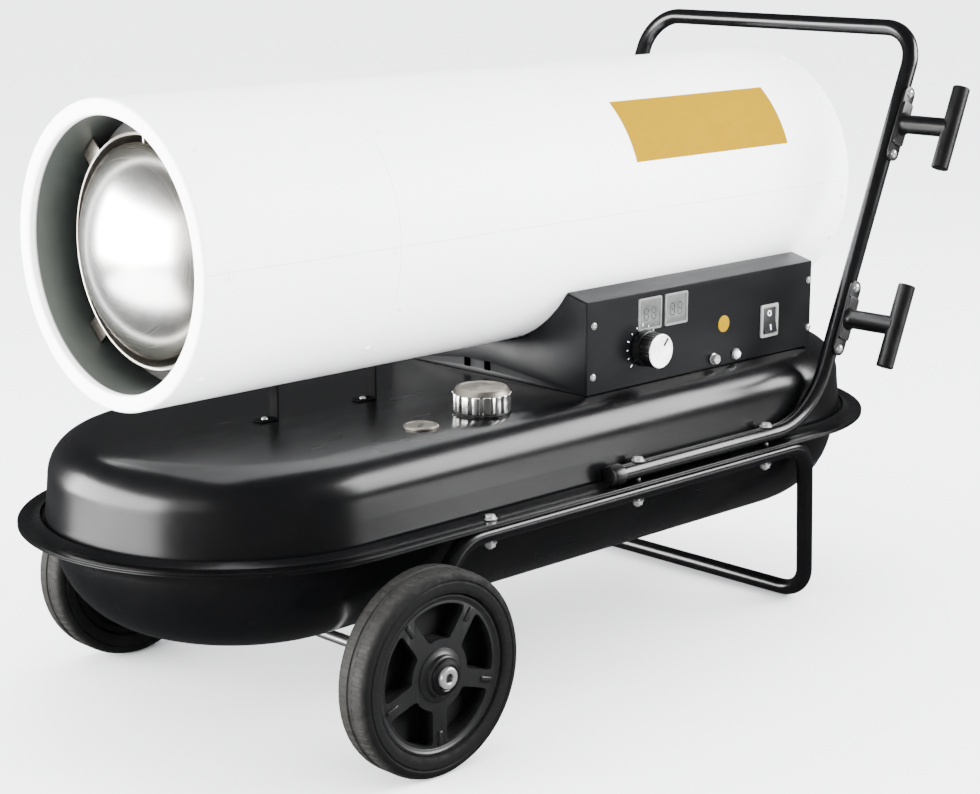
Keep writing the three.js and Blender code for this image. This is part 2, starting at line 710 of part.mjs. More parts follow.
// A soft end plug, flat where it lies on the flange and beside the tank's wall.
function handlePlug(side) {
  const spigot = apothem(TUBE_RADIUS - TUBE_WALL, TUBE_BORE_SIDES) - GAP;
  const beyond = PLUG_LENGTH + PLUG_RADIUS;
  const toTank = TUBE_RADIUS + RAIL_CLEARANCE - GAP;
  const plug = turnedAlongX(
    [
      [0, -PLUG_LENGTH],
      [PLUG_RADIUS - 3, -PLUG_LENGTH],
      [PLUG_RADIUS, -PLUG_LENGTH + 3],
      [PLUG_RADIUS, -GAP],
      [spigot, -GAP],
      [spigot, PLUG_SPIGOT],
      [0, PLUG_SPIGOT],
    ],
    16,
  );
  return cut(
    plug,
    block([-beyond, -beyond, -beyond], [beyond, beyond, -TUBE_RADIUS]),
    side < 0
      ? block([-beyond, toTank, -beyond], [beyond, beyond, beyond])
      : block([-beyond, -beyond, -beyond], [beyond, -toTank, beyond]),
  );
}

// A bolt with its nut run on: the head at the top, from the nut's seat at nutZ to the head's at headZ.
function boltWithNut(headZ, nutZ) {
  const shank = barAlongZ(BOLT_RADIUS, nutZ - BOLT_NUT_HEIGHT - 2, headZ + 1, 6);
  const head = barAlongZ(BOLT_HEAD_RADIUS, headZ, headZ + BOLT_HEAD_HEIGHT, 6);
  const nut = barAlongZ(BOLT_HEAD_RADIUS, nutZ - BOLT_NUT_HEIGHT, nutZ, 6);
  return joined(shank, head, nut);
}

function bolts() {
  const overHandle = HANDLE_RAIL_Z + TUBE_RADIUS + GAP;
  const underStand = STAND_RAIL_Z - TUBE_RADIUS - GAP;
  const stations = [
    ["front", FRONT_BOLT_X, FLANGE_TOP_Z + GAP],
    ["middle", MIDDLE_BOLT_X, overHandle],
    ["rear", REAR_BOLT_X, overHandle],
  ];
  return stations.flatMap(([place, x, headZ]) =>
    [["left", -RAIL_Y], ["right", RAIL_Y]].map(([side, y]) =>
      groupAt(x, y, 0, named(`${place}_bolt_${side}`, boltWithNut(headZ, underStand), FINISH.zinc)),
    ),
  );
}

// A cord hook about the leg's centre line: a plate on the leg, a stem out to the left and a bar along the leg.
function cordHook() {
  const seat = -(TUBE_RADIUS + GAP);
  const [half, side] = [HOOK_PLATE_LENGTH / 2, HOOK_PLATE_WIDTH / 2];
  const plate = block([-side, seat - HOOK_PLATE_THICKNESS, -half], [side, seat, half]);
  const stem = barAlongY(HOOK_STEM_RADIUS, -HOOK_REACH, seat - HOOK_PLATE_THICKNESS / 2, 16);
  const bar = barAlongZ(HOOK_BAR_RADIUS, -HOOK_BAR_LENGTH / 2, HOOK_BAR_LENGTH / 2, 14);
  return joined(plate, stem, moved(bar, 0, -HOOK_REACH, 0));
}

function cordHookAt(name, z) {
  const x = HANDLE_FOOT_X + (z - HANDLE_RAIL_Z) * Math.tan(radians(HANDLE_LEAN));
  const group = groupAt(x, -RAIL_Y, z, named(name, cordHook(), FINISH.blackPlastic));
  group.rotation.y = radians(HANDLE_LEAN);
  return group;
}

function frameParts() {
  const group = new THREE.Group();
  group.add(
    named("handle_tube", handleTube(), FINISH.blackTube),
    named("stand_frame", standFrame(), FINISH.blackTube),
    groupAt(HANDLE_FRONT_X, -RAIL_Y, HANDLE_RAIL_Z, named("handle_plug_left", handlePlug(-1), FINISH.blackPlastic)),
    groupAt(HANDLE_FRONT_X, RAIL_Y, HANDLE_RAIL_Z, named("handle_plug_right", handlePlug(1), FINISH.blackPlastic)),
    cordHookAt("cord_hook_upper", UPPER_HOOK_Z),
    cordHookAt("cord_hook_lower", LOWER_HOOK_Z),
    ...bolts(),
  );
  return group;
}

// ---------------------------------------------------------------- Wheels and axle

const WHEEL_SIDES = 28;

function tyre() {
  const half = TYRE_WIDTH / 2;
  return turned(
    [
      [TYRE_BORE_RADIUS, -RIM_WIDTH / 2],
      [TYRE_BORE_RADIUS + 5, -half],
      [WHEEL_RADIUS - TYRE_SHOULDER, -half],
      [WHEEL_RADIUS, -half + TYRE_SHOULDER],
      [WHEEL_RADIUS, half - TYRE_SHOULDER],
      [WHEEL_RADIUS - TYRE_SHOULDER, half],
      [TYRE_BORE_RADIUS + 5, half],
      [TYRE_BORE_RADIUS, RIM_WIDTH / 2],
    ],
    WHEEL_SIDES,
  );
}

// The pocket between two spokes with parallel sides, about its own middle at the top.
function spokePocket(inner, outer) {
  const edge = (radius) => Math.asin(SPOKE_WIDTH / 2 / radius);
  const half = Math.PI / SPOKE_COUNT;
  const shape = new THREE.Shape();
  shape.absarc(0, 0, outer, Math.PI / 2 - half + edge(outer), Math.PI / 2 + half - edge(outer), false);
  shape.absarc(0, 0, inner, Math.PI / 2 + half - edge(inner), Math.PI / 2 - half + edge(inner), true);
  return shape;
}

// A moulded wheel about its own middle, with its outer face towards +Y.
function wheelHub() {
  const rimRadius = apothem(TYRE_BORE_RADIUS, WHEEL_SIDES) - GAP;
  const rimBore = rimRadius - RIM_WALL;
  const rim = turned(
    [[rimBore, -RIM_WIDTH / 2], [rimRadius, -RIM_WIDTH / 2], [rimRadius, RIM_WIDTH / 2], [rimBore, RIM_WIDTH / 2]],
    WHEEL_SIDES,
  );
  const floor = HUB_FACE - POCKET_DEPTH;
  const disc = barAlongY(rimRadius - RIM_WALL / 2, floor - HUB_WEB, HUB_FACE, WHEEL_SIDES);
  const boss = barAlongY(HUB_RADIUS, -HUB_INNER_LENGTH, HUB_OUTER_LENGTH, 16);
  const bore = barAlongY(AXLE_RADIUS + GAP, -HUB_INNER_LENGTH - 1, HUB_OUTER_LENGTH + 1, 12);
  const pocketTool = plateAcrossY(spokePocket(POCKET_INNER_RADIUS, POCKET_OUTER_RADIUS), floor, HUB_FACE + 1, 3);
  const pockets = [...Array(SPOKE_COUNT).keys()].map((i) =>
    pocketTool.clone().rotateY((2 * Math.PI * i) / SPOKE_COUNT),
  );
  return cut(joined(cut(disc, ...pockets), rim, boss), bore);
}

function axleNut() {
  const [near, far] = [HUB_OUTER_LENGTH + GAP, HUB_OUTER_LENGTH + GAP + AXLE_NUT_LENGTH];
  const bore = AXLE_RADIUS + GAP;
  return turned([[bore, near], [AXLE_NUT_RADIUS, near], [AXLE_NUT_RADIUS - 1.5, far], [bore, far]], 12);
}

function wheel(side, y) {
  const group = groupAt(
    AXLE_X,
    y,
    AXLE_Z,
    named(`tyre_${side}`, tyre(), FINISH.rubber),
    named(`wheel_hub_${side}`, wheelHub(), FINISH.blackPlastic),
    named(`axle_nut_${side}`, axleNut(), FINISH.zinc),
  );
  if (y < 0) group.rotation.z = Math.PI;
  return group;
}

function wheels() {
  const reach = WHEEL_Y + HUB_OUTER_LENGTH + GAP + AXLE_NUT_LENGTH - 2;
  const axle = named("axle", barAlongY(AXLE_RADIUS, -reach, reach, 12), FINISH.steel);
  axle.position.set(AXLE_X, 0, AXLE_Z);
  const group = new THREE.Group();
  group.add(axle, wheel("left", -WHEEL_Y), wheel("right", WHEEL_Y));
  return group;
}

// ---------------------------------------------------------------- Casing, about its own axis

// Half of a round sheet, above or below the casing's middle plane.
function halfCasing(from, to, above) {
  const split = Math.asin(GAP / 2 / CASING_RADIUS);
  const [start, end] = above ? [split, Math.PI - split] : [Math.PI + split, 2 * Math.PI - split];
  const shape = new THREE.Shape();
  shape.absarc(0, 0, CASING_RADIUS, start, end, false);
  shape.absarc(0, 0, CASING_RADIUS - SHEET, end, start, true);
  return plateAcrossX(shape, from, to, CASING_SIDES / 4);
}

// The rolled lip of the outlet, with a liner inside it and a collar that the casing's front edge sleeves over.
function outletRing() {
  const middle = (CASING_RADIUS + OUTLET_RADIUS) / 2;
  const collar = CASING_BORE_RADIUS - GAP;
  const nose = [...Array(5).keys()].map((step) => {
    const angle = (Math.PI * step) / 4;
    return [middle - LIP_RADIUS * Math.cos(angle), LIP_DEPTH - LIP_DEPTH * Math.sin(angle)];
  });
  return turnedAlongX(
    [
      [OUTLET_RADIUS, LINER_DEPTH],
      ...nose,
      [collar, LIP_DEPTH],
      [collar, COLLAR_DEPTH],
      [collar - SHEET, COLLAR_DEPTH],
      [collar - SHEET, LIP_DEPTH + SHEET],
      [OUTLET_RADIUS + SHEET, LIP_DEPTH + SHEET],
      [OUTLET_RADIUS + SHEET, LINER_DEPTH],
    ],
    CASING_SIDES,
  );
}

// A bracket of bent strip between the tank's top and the casing's underside.
function casingSupport() {
  const top = CASING_LIFT - GAP;
  const sheet = SUPPORT_SHEET;
  const profile = outline([
    [-SUPPORT_FOOT, GAP],
    [0, GAP],
    [0, top - sheet],
    [SUPPORT_FOOT - sheet, top - sheet],
    [SUPPORT_FOOT - sheet, top],
    [-sheet, top],
    [-sheet, GAP + sheet],
    [-SUPPORT_FOOT, GAP + sheet],
  ]);
  return plateAcrossY(profile, -SUPPORT_WIDTH / 2, SUPPORT_WIDTH / 2);
}

function rearLowerCasing() {
  const hole = (x) => moved(barAlongZ(HOSE_RADIUS + GAP, -CASING_RADIUS - 1, 10 - CASING_RADIUS, 12), x, 0, 0);
  const body = halfCasing(FRONT_SECTION_LENGTH + GAP / 2, CASING_LENGTH, false);
  return cut(body, hole(PICKUP_X), hole(NOZZLE_NIPPLE_X), hole(PUMP_NIPPLE_X));
}

function rearGuard() {
  const back = CASING_LENGTH - GUARD_SETBACK;
  const rings = [...Array(GUARD_RINGS).keys()].map((i) => {
    const outer = CASING_BORE_RADIUS - GAP - i * GUARD_RING_PITCH;
    const inner = outer - GUARD_WIRE;
    const profile = [[inner, back], [outer, back], [outer, back + GUARD_WIRE], [inner, back + GUARD_WIRE]];
    return turnedAlongX(profile, i < 2 ? 28 : 14);
  });
  const reach = CASING_BORE_RADIUS - GAP - GUARD_WIRE / 2;
  const bars = [...Array(GUARD_BARS).keys()].map((i) => {
    const half = GUARD_WIRE / 2;
    const bar = block([back - half, -half, -reach], [back + half, half, reach]);
    return bar.rotateX((Math.PI * i) / GUARD_BARS);
  });
  return joined(...rings, ...bars);
}

function casing() {
  const [front, seam] = [LIP_DEPTH + GAP, FRONT_SECTION_LENGTH];
  const white = FINISH.whiteEnamel;
  const supports = [["front", SUPPORT_FRONT_X], ["rear", SUPPORT_REAR_X]].map(([place, x]) =>
    groupAt(x, 0, -CASING_RADIUS - CASING_LIFT, named(`casing_support_${place}`, casingSupport(), FINISH.blackTube)),
  );
  return groupAt(
    0,
    0,
    AXIS_Z,
    named("casing_front_upper", halfCasing(front, seam - GAP / 2, true), white),
    named("casing_front_lower", halfCasing(front, seam - GAP / 2, false), white),
    named("casing_rear_upper", halfCasing(seam + GAP / 2, CASING_LENGTH, true), white),
    named("casing_rear_lower", rearLowerCasing(), white),
    named("outlet_ring", outletRing(), white),
    named("rear_guard", rearGuard(), FINISH.blackTube),
    ...supports,
  );
}

// ---------------------------------------------------------------- Combustion drum, about the casing's axis

// Four bent straps that carry the drum, at 45 degrees to the upright, each with a foot along the drum.
function drumTabs(x, reach) {
  const half = TAB_WIDTH / 2;
  const seat = apothem(DRUM_RADIUS - SHEET, DRUM_SIDES) + SHEET / 4;
  const foot = DRUM_RADIUS + TAB_SHEET;
  return [45, 135, 225, 315].map((angle) => {
    const upright = block([x, -half, seat], [x + TAB_SHEET, half, reach]);
    return joined(upright, block([x, -half, seat], [x + TAB_FOOT, half, foot])).rotateX(radians(angle));
  });
}

function combustionDrum() {
  const inner = DRUM_RADIUS - SHEET;
  const wall = turnedAlongX(
    [
      [inner, DRUM_FRONT_X],
      [DRUM_RADIUS + DRUM_BEAD / 2, DRUM_FRONT_X],
      [DRUM_RADIUS + DRUM_BEAD / 2, DRUM_FRONT_X + DRUM_BEAD],
      [DRUM_RADIUS, DRUM_FRONT_X + DRUM_BEAD],
      [DRUM_RADIUS, DRUM_REAR_X],
      [inner, DRUM_REAR_X],
    ],
    DRUM_SIDES,
  );
  const within = (radius) => Math.sqrt(radius ** 2 - (TAB_WIDTH / 2) ** 2) - GAP;
  const atLiner = drumTabs(DRUM_FRONT_X + TAB_INSET, within(apothem(OUTLET_RADIUS, CASING_SIDES)));
  const atCasing = drumTabs(DRUM_REAR_X - TAB_INSET - TAB_FOOT, within(CASING_BORE_RADIUS));
  return joined(wall, ...atLiner, ...atCasing);
}

// A domed deflector in the mouth of the drum, held by short struts on its skirt.
function outletDome() {
  const sphere = (DOME_RADIUS ** 2 + DOME_BULGE ** 2) / (2 * DOME_BULGE);
  const rim = Math.asin(DOME_RADIUS / sphere);
  const steps = 5;
  const cap = (radius) => [...Array(steps + 1).keys()].map((step) => {
    const angle = (rim * step) / steps;
    return [radius * Math.sin(angle), DRUM_FRONT_X - DOME_BULGE + sphere - radius * Math.cos(angle)];
  });
  const skirtEnd = DRUM_FRONT_X + DOME_SKIRT;
  const outside = cap(sphere);
  const inside = cap(sphere - SHEET).toReversed().slice(1);
  const shell = turnedAlongX(
    [...outside, [DOME_RADIUS, skirtEnd], [DOME_RADIUS - SHEET, skirtEnd], [DOME_RADIUS - SHEET, DRUM_FRONT_X + SHEET], ...inside],
    DRUM_SIDES,
  );
  const struts = [...Array(DOME_STRUTS).keys()].map((i) => {
    const half = TAB_SHEET / 2;
    const reach = DRUM_BORE_RADIUS - 2 * GAP;
    const strut = block([skirtEnd - TAB_SHEET * 5, -half, DOME_RADIUS - SHEET], [skirtEnd, half, reach]);
    return strut.rotateX((2 * Math.PI * i) / DOME_STRUTS);
  });
  return joined(shell, ...struts);
}

// A disc with ports, held inside the drum by lugs, with a ring of space around it.
function drumHead() {
  const rim = DRUM_BORE_RADIUS - HEAD_SLOT;
  const disc = outline(polygon(rim, DRUM_SIDES));
  const ring = (radius, y, z) => new THREE.Path().absarc(y, z, radius, 0, 2 * Math.PI, true);
  disc.holes.push(ring(HEAD_BORE, 0, 0));
  for (let i = 0; i < HEAD_PORTS; i++) {
    const angle = (2 * Math.PI * i) / HEAD_PORTS;
    disc.holes.push(ring(HEAD_PORT_RADIUS, HEAD_PORT_CIRCLE * Math.cos(angle), HEAD_PORT_CIRCLE * Math.sin(angle)));
  }
  const half = HEAD_LUG_WIDTH / 2;
  const reach = Math.sqrt(DRUM_BORE_RADIUS ** 2 - half ** 2) - GAP;
  const lugs = [...Array(HEAD_LUGS).keys()].map((i) => {
    const lug = block([HEAD_X, -half, apothem(rim, DRUM_SIDES) - GAP], [HEAD_X + HEAD_SHEET, half, reach]);
    return lug.rotateX(((i + 0.5) * 2 * Math.PI) / HEAD_LUGS);
  });
  return joined(plateAcrossX(disc, HEAD_X, HEAD_X + HEAD_SHEET, 4), ...lugs);
}

const NOZZLE_END_X = HEAD_BACK_X + NOZZLE_FLANGE + NOZZLE_TAIL;
const NOZZLE_NIPPLE_X = NOZZLE_END_X - NOZZLE_TAIL / 2;
const PUMP_NIPPLE_X = PUMP_X + PUMP_LENGTH / 2;
const NIPPLE_RADIUS = HOSE_RADIUS;

function hoseNipple(x, bodyRadius) {
  return moved(barAlongZ(NIPPLE_RADIUS, -bodyRadius - NIPPLE_LENGTH, -bodyRadius / 2, 12), x, 0, 0);
}

function burnerNozzle() {
  const tip = HEAD_X - NOZZLE_REACH;
  const body = turnedAlongX(
    [
      [0, tip],
      [NOZZLE_TIP_RADIUS, tip],
      [NOZZLE_RADIUS, tip + 10],
      [NOZZLE_RADIUS, HEAD_BACK_X],
      [NOZZLE_FLANGE_RADIUS, HEAD_BACK_X],
      [NOZZLE_FLANGE_RADIUS, HEAD_BACK_X + NOZZLE_FLANGE],
      [NOZZLE_RADIUS, HEAD_BACK_X + NOZZLE_FLANGE],
      [NOZZLE_RADIUS, NOZZLE_END_X],
      [0, NOZZLE_END_X],
    ],
    14,
  );
  return joined(body, hoseNipple(NOZZLE_NIPPLE_X, NOZZLE_RADIUS));
}

// A body behind the drum's head with a thinner nose through one of its ports.
function probe(bodyLength, noseRadius, reach, noseTip) {
  return turnedAlongX(
    [
      [0, HEAD_X - reach],
      [noseTip, HEAD_X - reach],
      [noseRadius, HEAD_X],
      [noseRadius, HEAD_BACK_X],
      [PROBE_BODY_RADIUS, HEAD_BACK_X],
      [PROBE_BODY_RADIUS, HEAD_BACK_X + bodyLength],
      [0, HEAD_BACK_X + bodyLength],
    ],
    12,
  );
}

function burner() {
  const igniter = probe(IGNITER_BODY, IGNITER_ROD_RADIUS, IGNITER_REACH, IGNITER_ROD_RADIUS / 2);
  const photocell = probe(PHOTOCELL_BODY, PHOTOCELL_NOSE_RADIUS, PHOTOCELL_REACH, PHOTOCELL_NOSE_RADIUS - 1);
  return groupAt(
    0,
    0,
    AXIS_Z,
    named("combustion_drum", combustionDrum(), FINISH.stainless),
    named("outlet_dome", outletDome(), FINISH.stainless),
    named("drum_head", drumHead(), FINISH.steel),
    named("burner_nozzle", burnerNozzle(), FINISH.steel),
    groupAt(0, HEAD_PORT_CIRCLE, 0, named("igniter", igniter, FINISH.ceramic)),
    groupAt(0, -HEAD_PORT_CIRCLE, 0, named("flame_photocell", photocell, FINISH.blackPlastic)),
  );
}

// ---------------------------------------------------------------- Fan, motor and pump, about the casing's axis

function fan() {
  const middle = FAN_X + FAN_HUB_LENGTH / 2;
  const hub = barAlongX(FAN_HUB_RADIUS, FAN_X, FAN_X + FAN_HUB_LENGTH, 18);
  const blades = [...Array(FAN_BLADES).keys()].map((i) => {
    const [sheet, chord] = [BLADE_SHEET / 2, BLADE_CHORD / 2];
    const blade = block([-sheet, -chord, FAN_HUB_RADIUS - 4], [sheet, chord, FAN_RADIUS]);
    return moved(blade.rotateZ(radians(FAN_PITCH)), middle, 0, 0).rotateX((2 * Math.PI * i) / FAN_BLADES);
  });
  return cut(joined(hub, ...blades), barAlongX(SHAFT_RADIUS + GAP, FAN_X - 1, MOTOR_X, 12));
}

function motorShaft() {
  return barAlongX(SHAFT_RADIUS, FAN_X + 2, FAN_X + 2 + SHAFT_LENGTH, 12);
}

function motor() {
  const front = MOTOR_X - MOTOR_NOSE;
  const boreEnd = FAN_X + 2 + SHAFT_LENGTH + GAP;
  const bore = SHAFT_RADIUS + GAP;
  return turnedAlongX(
    [
      [bore, boreEnd],
      [bore, front],
      [MOTOR_NOSE_RADIUS, front],
      [MOTOR_NOSE_RADIUS, MOTOR_X],
      [MOTOR_RADIUS, MOTOR_X],
      [MOTOR_RADIUS, MOTOR_X + MOTOR_LENGTH],
      [0, MOTOR_X + MOTOR_LENGTH],
      [0, boreEnd],
    ],
    24,
  );
}

function motorBracket() {
  const [near, far] = [MOTOR_X + BRACKET_OFFSET, MOTOR_X + BRACKET_OFFSET + BRACKET_LENGTH];
  const bore = MOTOR_RADIUS + GAP;
  const outer = bore + BRACKET_WALL;
  const clamp = turnedAlongX([[bore, near], [outer, near], [outer, far], [bore, far]], 24);
  const arms = [...Array(BRACKET_ARMS).keys()].map((i) => {
    const half = BRACKET_WALL / 2;
    const reach = CASING_BORE_RADIUS - 2 * GAP;
    const arm = block([near, -half, bore + BRACKET_WALL / 2], [far, half, reach]);
    return arm.rotateX((2 * Math.PI * i) / BRACKET_ARMS);
  });
  return joined(clamp, ...arms);
}

// The pump with its round filter cover on the end.
function airPump() {
  const filterX = PUMP_X + PUMP_LENGTH;
  const body = turnedAlongX(
    [
      [0, PUMP_X],
      [PUMP_RADIUS, PUMP_X],
      [PUMP_RADIUS, filterX],
      [FILTER_RADIUS, filterX],
      [FILTER_RADIUS, filterX + FILTER_LENGTH - 3],
      [FILTER_RADIUS - 3, filterX + FILTER_LENGTH],
      [0, filterX + FILTER_LENGTH],
    ],
    24,
  );
  return joined(body, hoseNipple(PUMP_NIPPLE_X, PUMP_RADIUS));
}

function airMover() {
  return groupAt(
    0,
    0,
    AXIS_Z,
    named("fan", fan(), FINISH.aluminium),
    named("motor_shaft", motorShaft(), FINISH.steel),
    named("motor", motor(), FINISH.steel),
    named("motor_bracket", motorBracket(), FINISH.steel),
    named("air_pump", airPump(), FINISH.aluminium),
  );
}

// ---------------------------------------------------------------- Control box

const STRIP_TOP_Z = PANEL_TOP_Z + STRIP_RISE;
const STRIP_EDGE_Y = Math.sqrt((CASING_RADIUS + GAP) ** 2 - (AXIS_Z - STRIP_TOP_Z) ** 2);
const BOX_BASE_Z = TANK_TOP_Z + GAP;

// A side panel with the sloping strip along its top, on one side of the box.
function sidePanel(side) {
  const [face, inside] = [side * BOX_HALF_WIDTH, side * (BOX_HALF_WIDTH - SHEET)];
  const edge = side * STRIP_EDGE_Y;
  return plateAcrossX(
    outline([
      [face, BOX_BASE_Z],
      [face, PANEL_TOP_Z],
      [edge, STRIP_TOP_Z],
      [edge, STRIP_TOP_Z - SHEET],
      [inside, PANEL_TOP_Z - SHEET],
      [inside, BOX_BASE_Z],
    ]),
    BOX_FRONT_X,
    BOX_REAR_X,
  );
}

// A tool through the panel around a place on its face.
function panelOpening(x, z, width, height) {
  const face = -BOX_HALF_WIDTH;
  return block([x - width / 2, face - 1, z - height / 2], [x + width / 2, face + 2 * SHEET, z + height / 2]);
}

function panelHole(x, z, radius) {
  const face = -BOX_HALF_WIDTH;
  return moved(barAlongY(radius, face - 1, face + 2 * SHEET, 16), x, 0, z);
}

function controlPanel() {
  const displayPlaces = [DISPLAY_X, DISPLAY_X + DISPLAY_PITCH];
  return cut(
    sidePanel(-1),
    ...displayPlaces.map((x) => panelOpening(x, DISPLAY_Z, DISPLAY_WIDTH + 2 * GAP, DISPLAY_HEIGHT + 2 * GAP)),
    panelOpening(SWITCH_X, SWITCH_Z, SWITCH_WIDTH - SWITCH_RIM + 2 * GAP, SWITCH_HEIGHT - SWITCH_RIM + 2 * GAP),
    panelHole(KNOB_X, KNOB_Z, KNOB_SHAFT_RADIUS + 2),
    panelHole(FUSE_X, FITTING_Z, FITTING_BORE_RADIUS + GAP),
    panelHole(BUTTON_X, FITTING_Z, FITTING_BORE_RADIUS + GAP),
  );
}

// A plate across the box, between the side panels and under their strips, that the casing lies in.
function saddlePlate(from) {
  const side = BOX_HALF_WIDTH - SHEET - GAP;
  const radius = CASING_RADIUS + GAP;
  const drop = SHEET + GAP;
  const cornerZ = PANEL_TOP_Z - drop;
  const angle = Math.asin((AXIS_Z - STRIP_TOP_Z + drop) / radius);
  const shape = new THREE.Shape();
  shape.moveTo(-side, BOX_BASE_Z);
  shape.lineTo(side, BOX_BASE_Z);
  shape.lineTo(side, cornerZ);
  shape.absarc(0, AXIS_Z, radius, -angle, angle - Math.PI, true);
  shape.lineTo(-side, cornerZ);
  return plateAcrossX(shape, from, from + SHEET, 12);
}

// Pieces on the panel are drawn about the panel's face, with distances out of the box along -Y.
const turnedOutwards = (profile, sides) => turned(profile.map(([radius, out]) => [radius, -out]), sides);

function thermostatKnob() {
  const [base, top] = [KNOB_STANDOFF, KNOB_STANDOFF + KNOB_BASE_DEPTH];
  return turnedOutwards(
    [
      [0, -KNOB_SHAFT_REACH],
      [KNOB_SHAFT_RADIUS, -KNOB_SHAFT_REACH],
      [KNOB_SHAFT_RADIUS, base],
      [KNOB_BASE_RADIUS, base],
      [KNOB_BASE_RADIUS, top - 2],
      [KNOB_GRIP_RADIUS, top],
      [KNOB_GRIP_RADIUS - 1, top + KNOB_GRIP_DEPTH],
      [0, top + KNOB_GRIP_DEPTH],
    ],
    20,
  );
}

function thermostatBody() {
  const [front, bore] = [-SHEET - GAP, KNOB_SHAFT_RADIUS + GAP];
  return turnedOutwards(
    [
      [bore, -KNOB_SHAFT_REACH - GAP],
      [bore, front],
      [THERMOSTAT_RADIUS, front],
      [THERMOSTAT_RADIUS, front - THERMOSTAT_DEPTH],
      [0, front - THERMOSTAT_DEPTH],
      [0, -KNOB_SHAFT_REACH - GAP],
    ],
    14,
  );
}

function switchBody() {
  const [w, h] = [SWITCH_WIDTH / 2, SWITCH_HEIGHT / 2];
  const rim = SWITCH_RIM / 2;
  const bezel = block([-w, -GAP - SWITCH_BEZEL, -h], [w, -GAP, h]);
  const body = block([-w + rim, -GAP - 0.5, -h + rim], [w - rim, SWITCH_DEPTH, h - rim]);
  const recess = block([-w + 2 * rim, -GAP - SWITCH_BEZEL - 1, -h + 2 * rim], [w - 2 * rim, SWITCH_RECESS, h - 2 * rim]);
  return cut(joined(bezel, body), recess);
}

function rocker() {
  const half = SWITCH_HEIGHT / 2 - SWITCH_RIM - ROCKER_PLAY;
  const width = SWITCH_WIDTH / 2 - SWITCH_RIM - ROCKER_PLAY;
  const profile = outline([
    [-ROCKER_PROUD, -half],
    [-ROCKER_PROUD / 2, 0],
    [-ROCKER_PROUD, half],
    [1, half],
    [5, half / 3],
    [5, -half / 3],
    [1, -half],
  ]);
  return plateAcrossX(profile, -width, width).rotateX(radians(-ROCKER_TILT));
}

function displayModule() {
  const [w, h] = [DISPLAY_WIDTH / 2, DISPLAY_HEIGHT / 2];
  const windowBlock = (x) => block([x - w, -DISPLAY_PROUD, -h], [x + w, DISPLAY_DEPTH, h]);
  const board = block([-w - 6, DISPLAY_DEPTH - 1, -h - 1.5], [DISPLAY_PITCH + w + 6, DISPLAY_DEPTH + 1, h - 2]);
  return joined(windowBlock(0), windowBlock(DISPLAY_PITCH), board);
}

function fuseHolder() {
  return turnedOutwards(
    [
      [0, -FUSE_DEPTH],
      [FITTING_BORE_RADIUS, -FUSE_DEPTH],
      [FITTING_BORE_RADIUS, GAP],
      [FITTING_RADIUS, GAP],
      [FITTING_RADIUS, 2],
      [FITTING_BORE_RADIUS, 2],
      [FITTING_BORE_RADIUS - 0.5, FUSE_CAP_LENGTH],
      [0, FUSE_CAP_LENGTH],
    ],
    14,
  );
}

const BUTTON_TAIL = 5;

function resetSwitch() {
  const bore = BUTTON_RADIUS + GAP;
  const floor = -BUTTON_TAIL - BUTTON_TRAVEL - 1;
  return turnedOutwards(
    [
      [bore, floor],
      [bore, 3],
      [FITTING_RADIUS - 0.5, 3],
      [FITTING_RADIUS, 2],
      [FITTING_RADIUS, GAP],
      [FITTING_BORE_RADIUS, GAP],
      [FITTING_BORE_RADIUS, floor - 8],
      [0, floor - 8],
      [0, floor],
    ],
    14,
  );
}

function resetButton() {
  return turnedOutwards(
    [[0, -BUTTON_TAIL], [BUTTON_RADIUS, -BUTTON_TAIL], [BUTTON_RADIUS, BUTTON_PROUD - 1], [BUTTON_RADIUS - 1, BUTTON_PROUD], [0, BUTTON_PROUD]],
    12,
  );
}

// The control board stands on four posts off the right-hand panel.
function controlBoard() {
  const wall = BOX_HALF_WIDTH - SHEET - GAP;
  const [front, back] = [wall - BOARD_STANDOFF - BOARD_SHEET, wall - BOARD_STANDOFF];
  const low = BOX_BASE_Z + BOARD_LIFT;
  const board = block([BOARD_X, front, low], [BOARD_X + BOARD_LENGTH, back, low + BOARD_HEIGHT]);
  const posts = [BOARD_MARGIN, BOARD_LENGTH - BOARD_MARGIN].flatMap((x) =>
    [BOARD_MARGIN, BOARD_HEIGHT - BOARD_MARGIN].map((z) =>
      moved(barAlongY(BOARD_POST_RADIUS, back - GAP, wall, 8), BOARD_X + x, 0, low + z),
    ),
  );
  const raised = (x, length, height, depth) => {
    const middle = low + BOARD_HEIGHT / 2;
    return block([x, front - depth, middle - height / 2], [x + length, front + GAP, middle + height / 2]);
  };
  const relay = raised(BOARD_X + 2 * BOARD_MARGIN, RELAY_LENGTH, RELAY_HEIGHT, RELAY_DEPTH);
  const capacitor = barAlongY(CAPACITOR_RADIUS, front - CAPACITOR_DEPTH, front + GAP, 12);
  const terminalsX = BOARD_X + BOARD_LENGTH - 2 * BOARD_MARGIN - TERMINALS_LENGTH;
  const terminals = raised(terminalsX, TERMINALS_LENGTH, TERMINALS_HEIGHT, TERMINALS_DEPTH);
  const middle = moved(capacitor, BOARD_X + BOARD_LENGTH / 2, 0, low + BOARD_HEIGHT / 2);
  return joined(board, ...posts, relay, middle, terminals);
}

function ignitionTransformer() {
  const [length, width] = [TRANSFORMER_LENGTH / 2, TRANSFORMER_WIDTH / 2];
  const foot = block([-length - 9, -width, GAP], [length + 9, width, GAP + 2]);
  const body = block([-length, -width, GAP + 1], [length, width, TRANSFORMER_HEIGHT]);
  return joined(foot, body, moved(barAlongX(5, length - 1, length + 14, 12), 0, 0, TRANSFORMER_HEIGHT / 2));
}

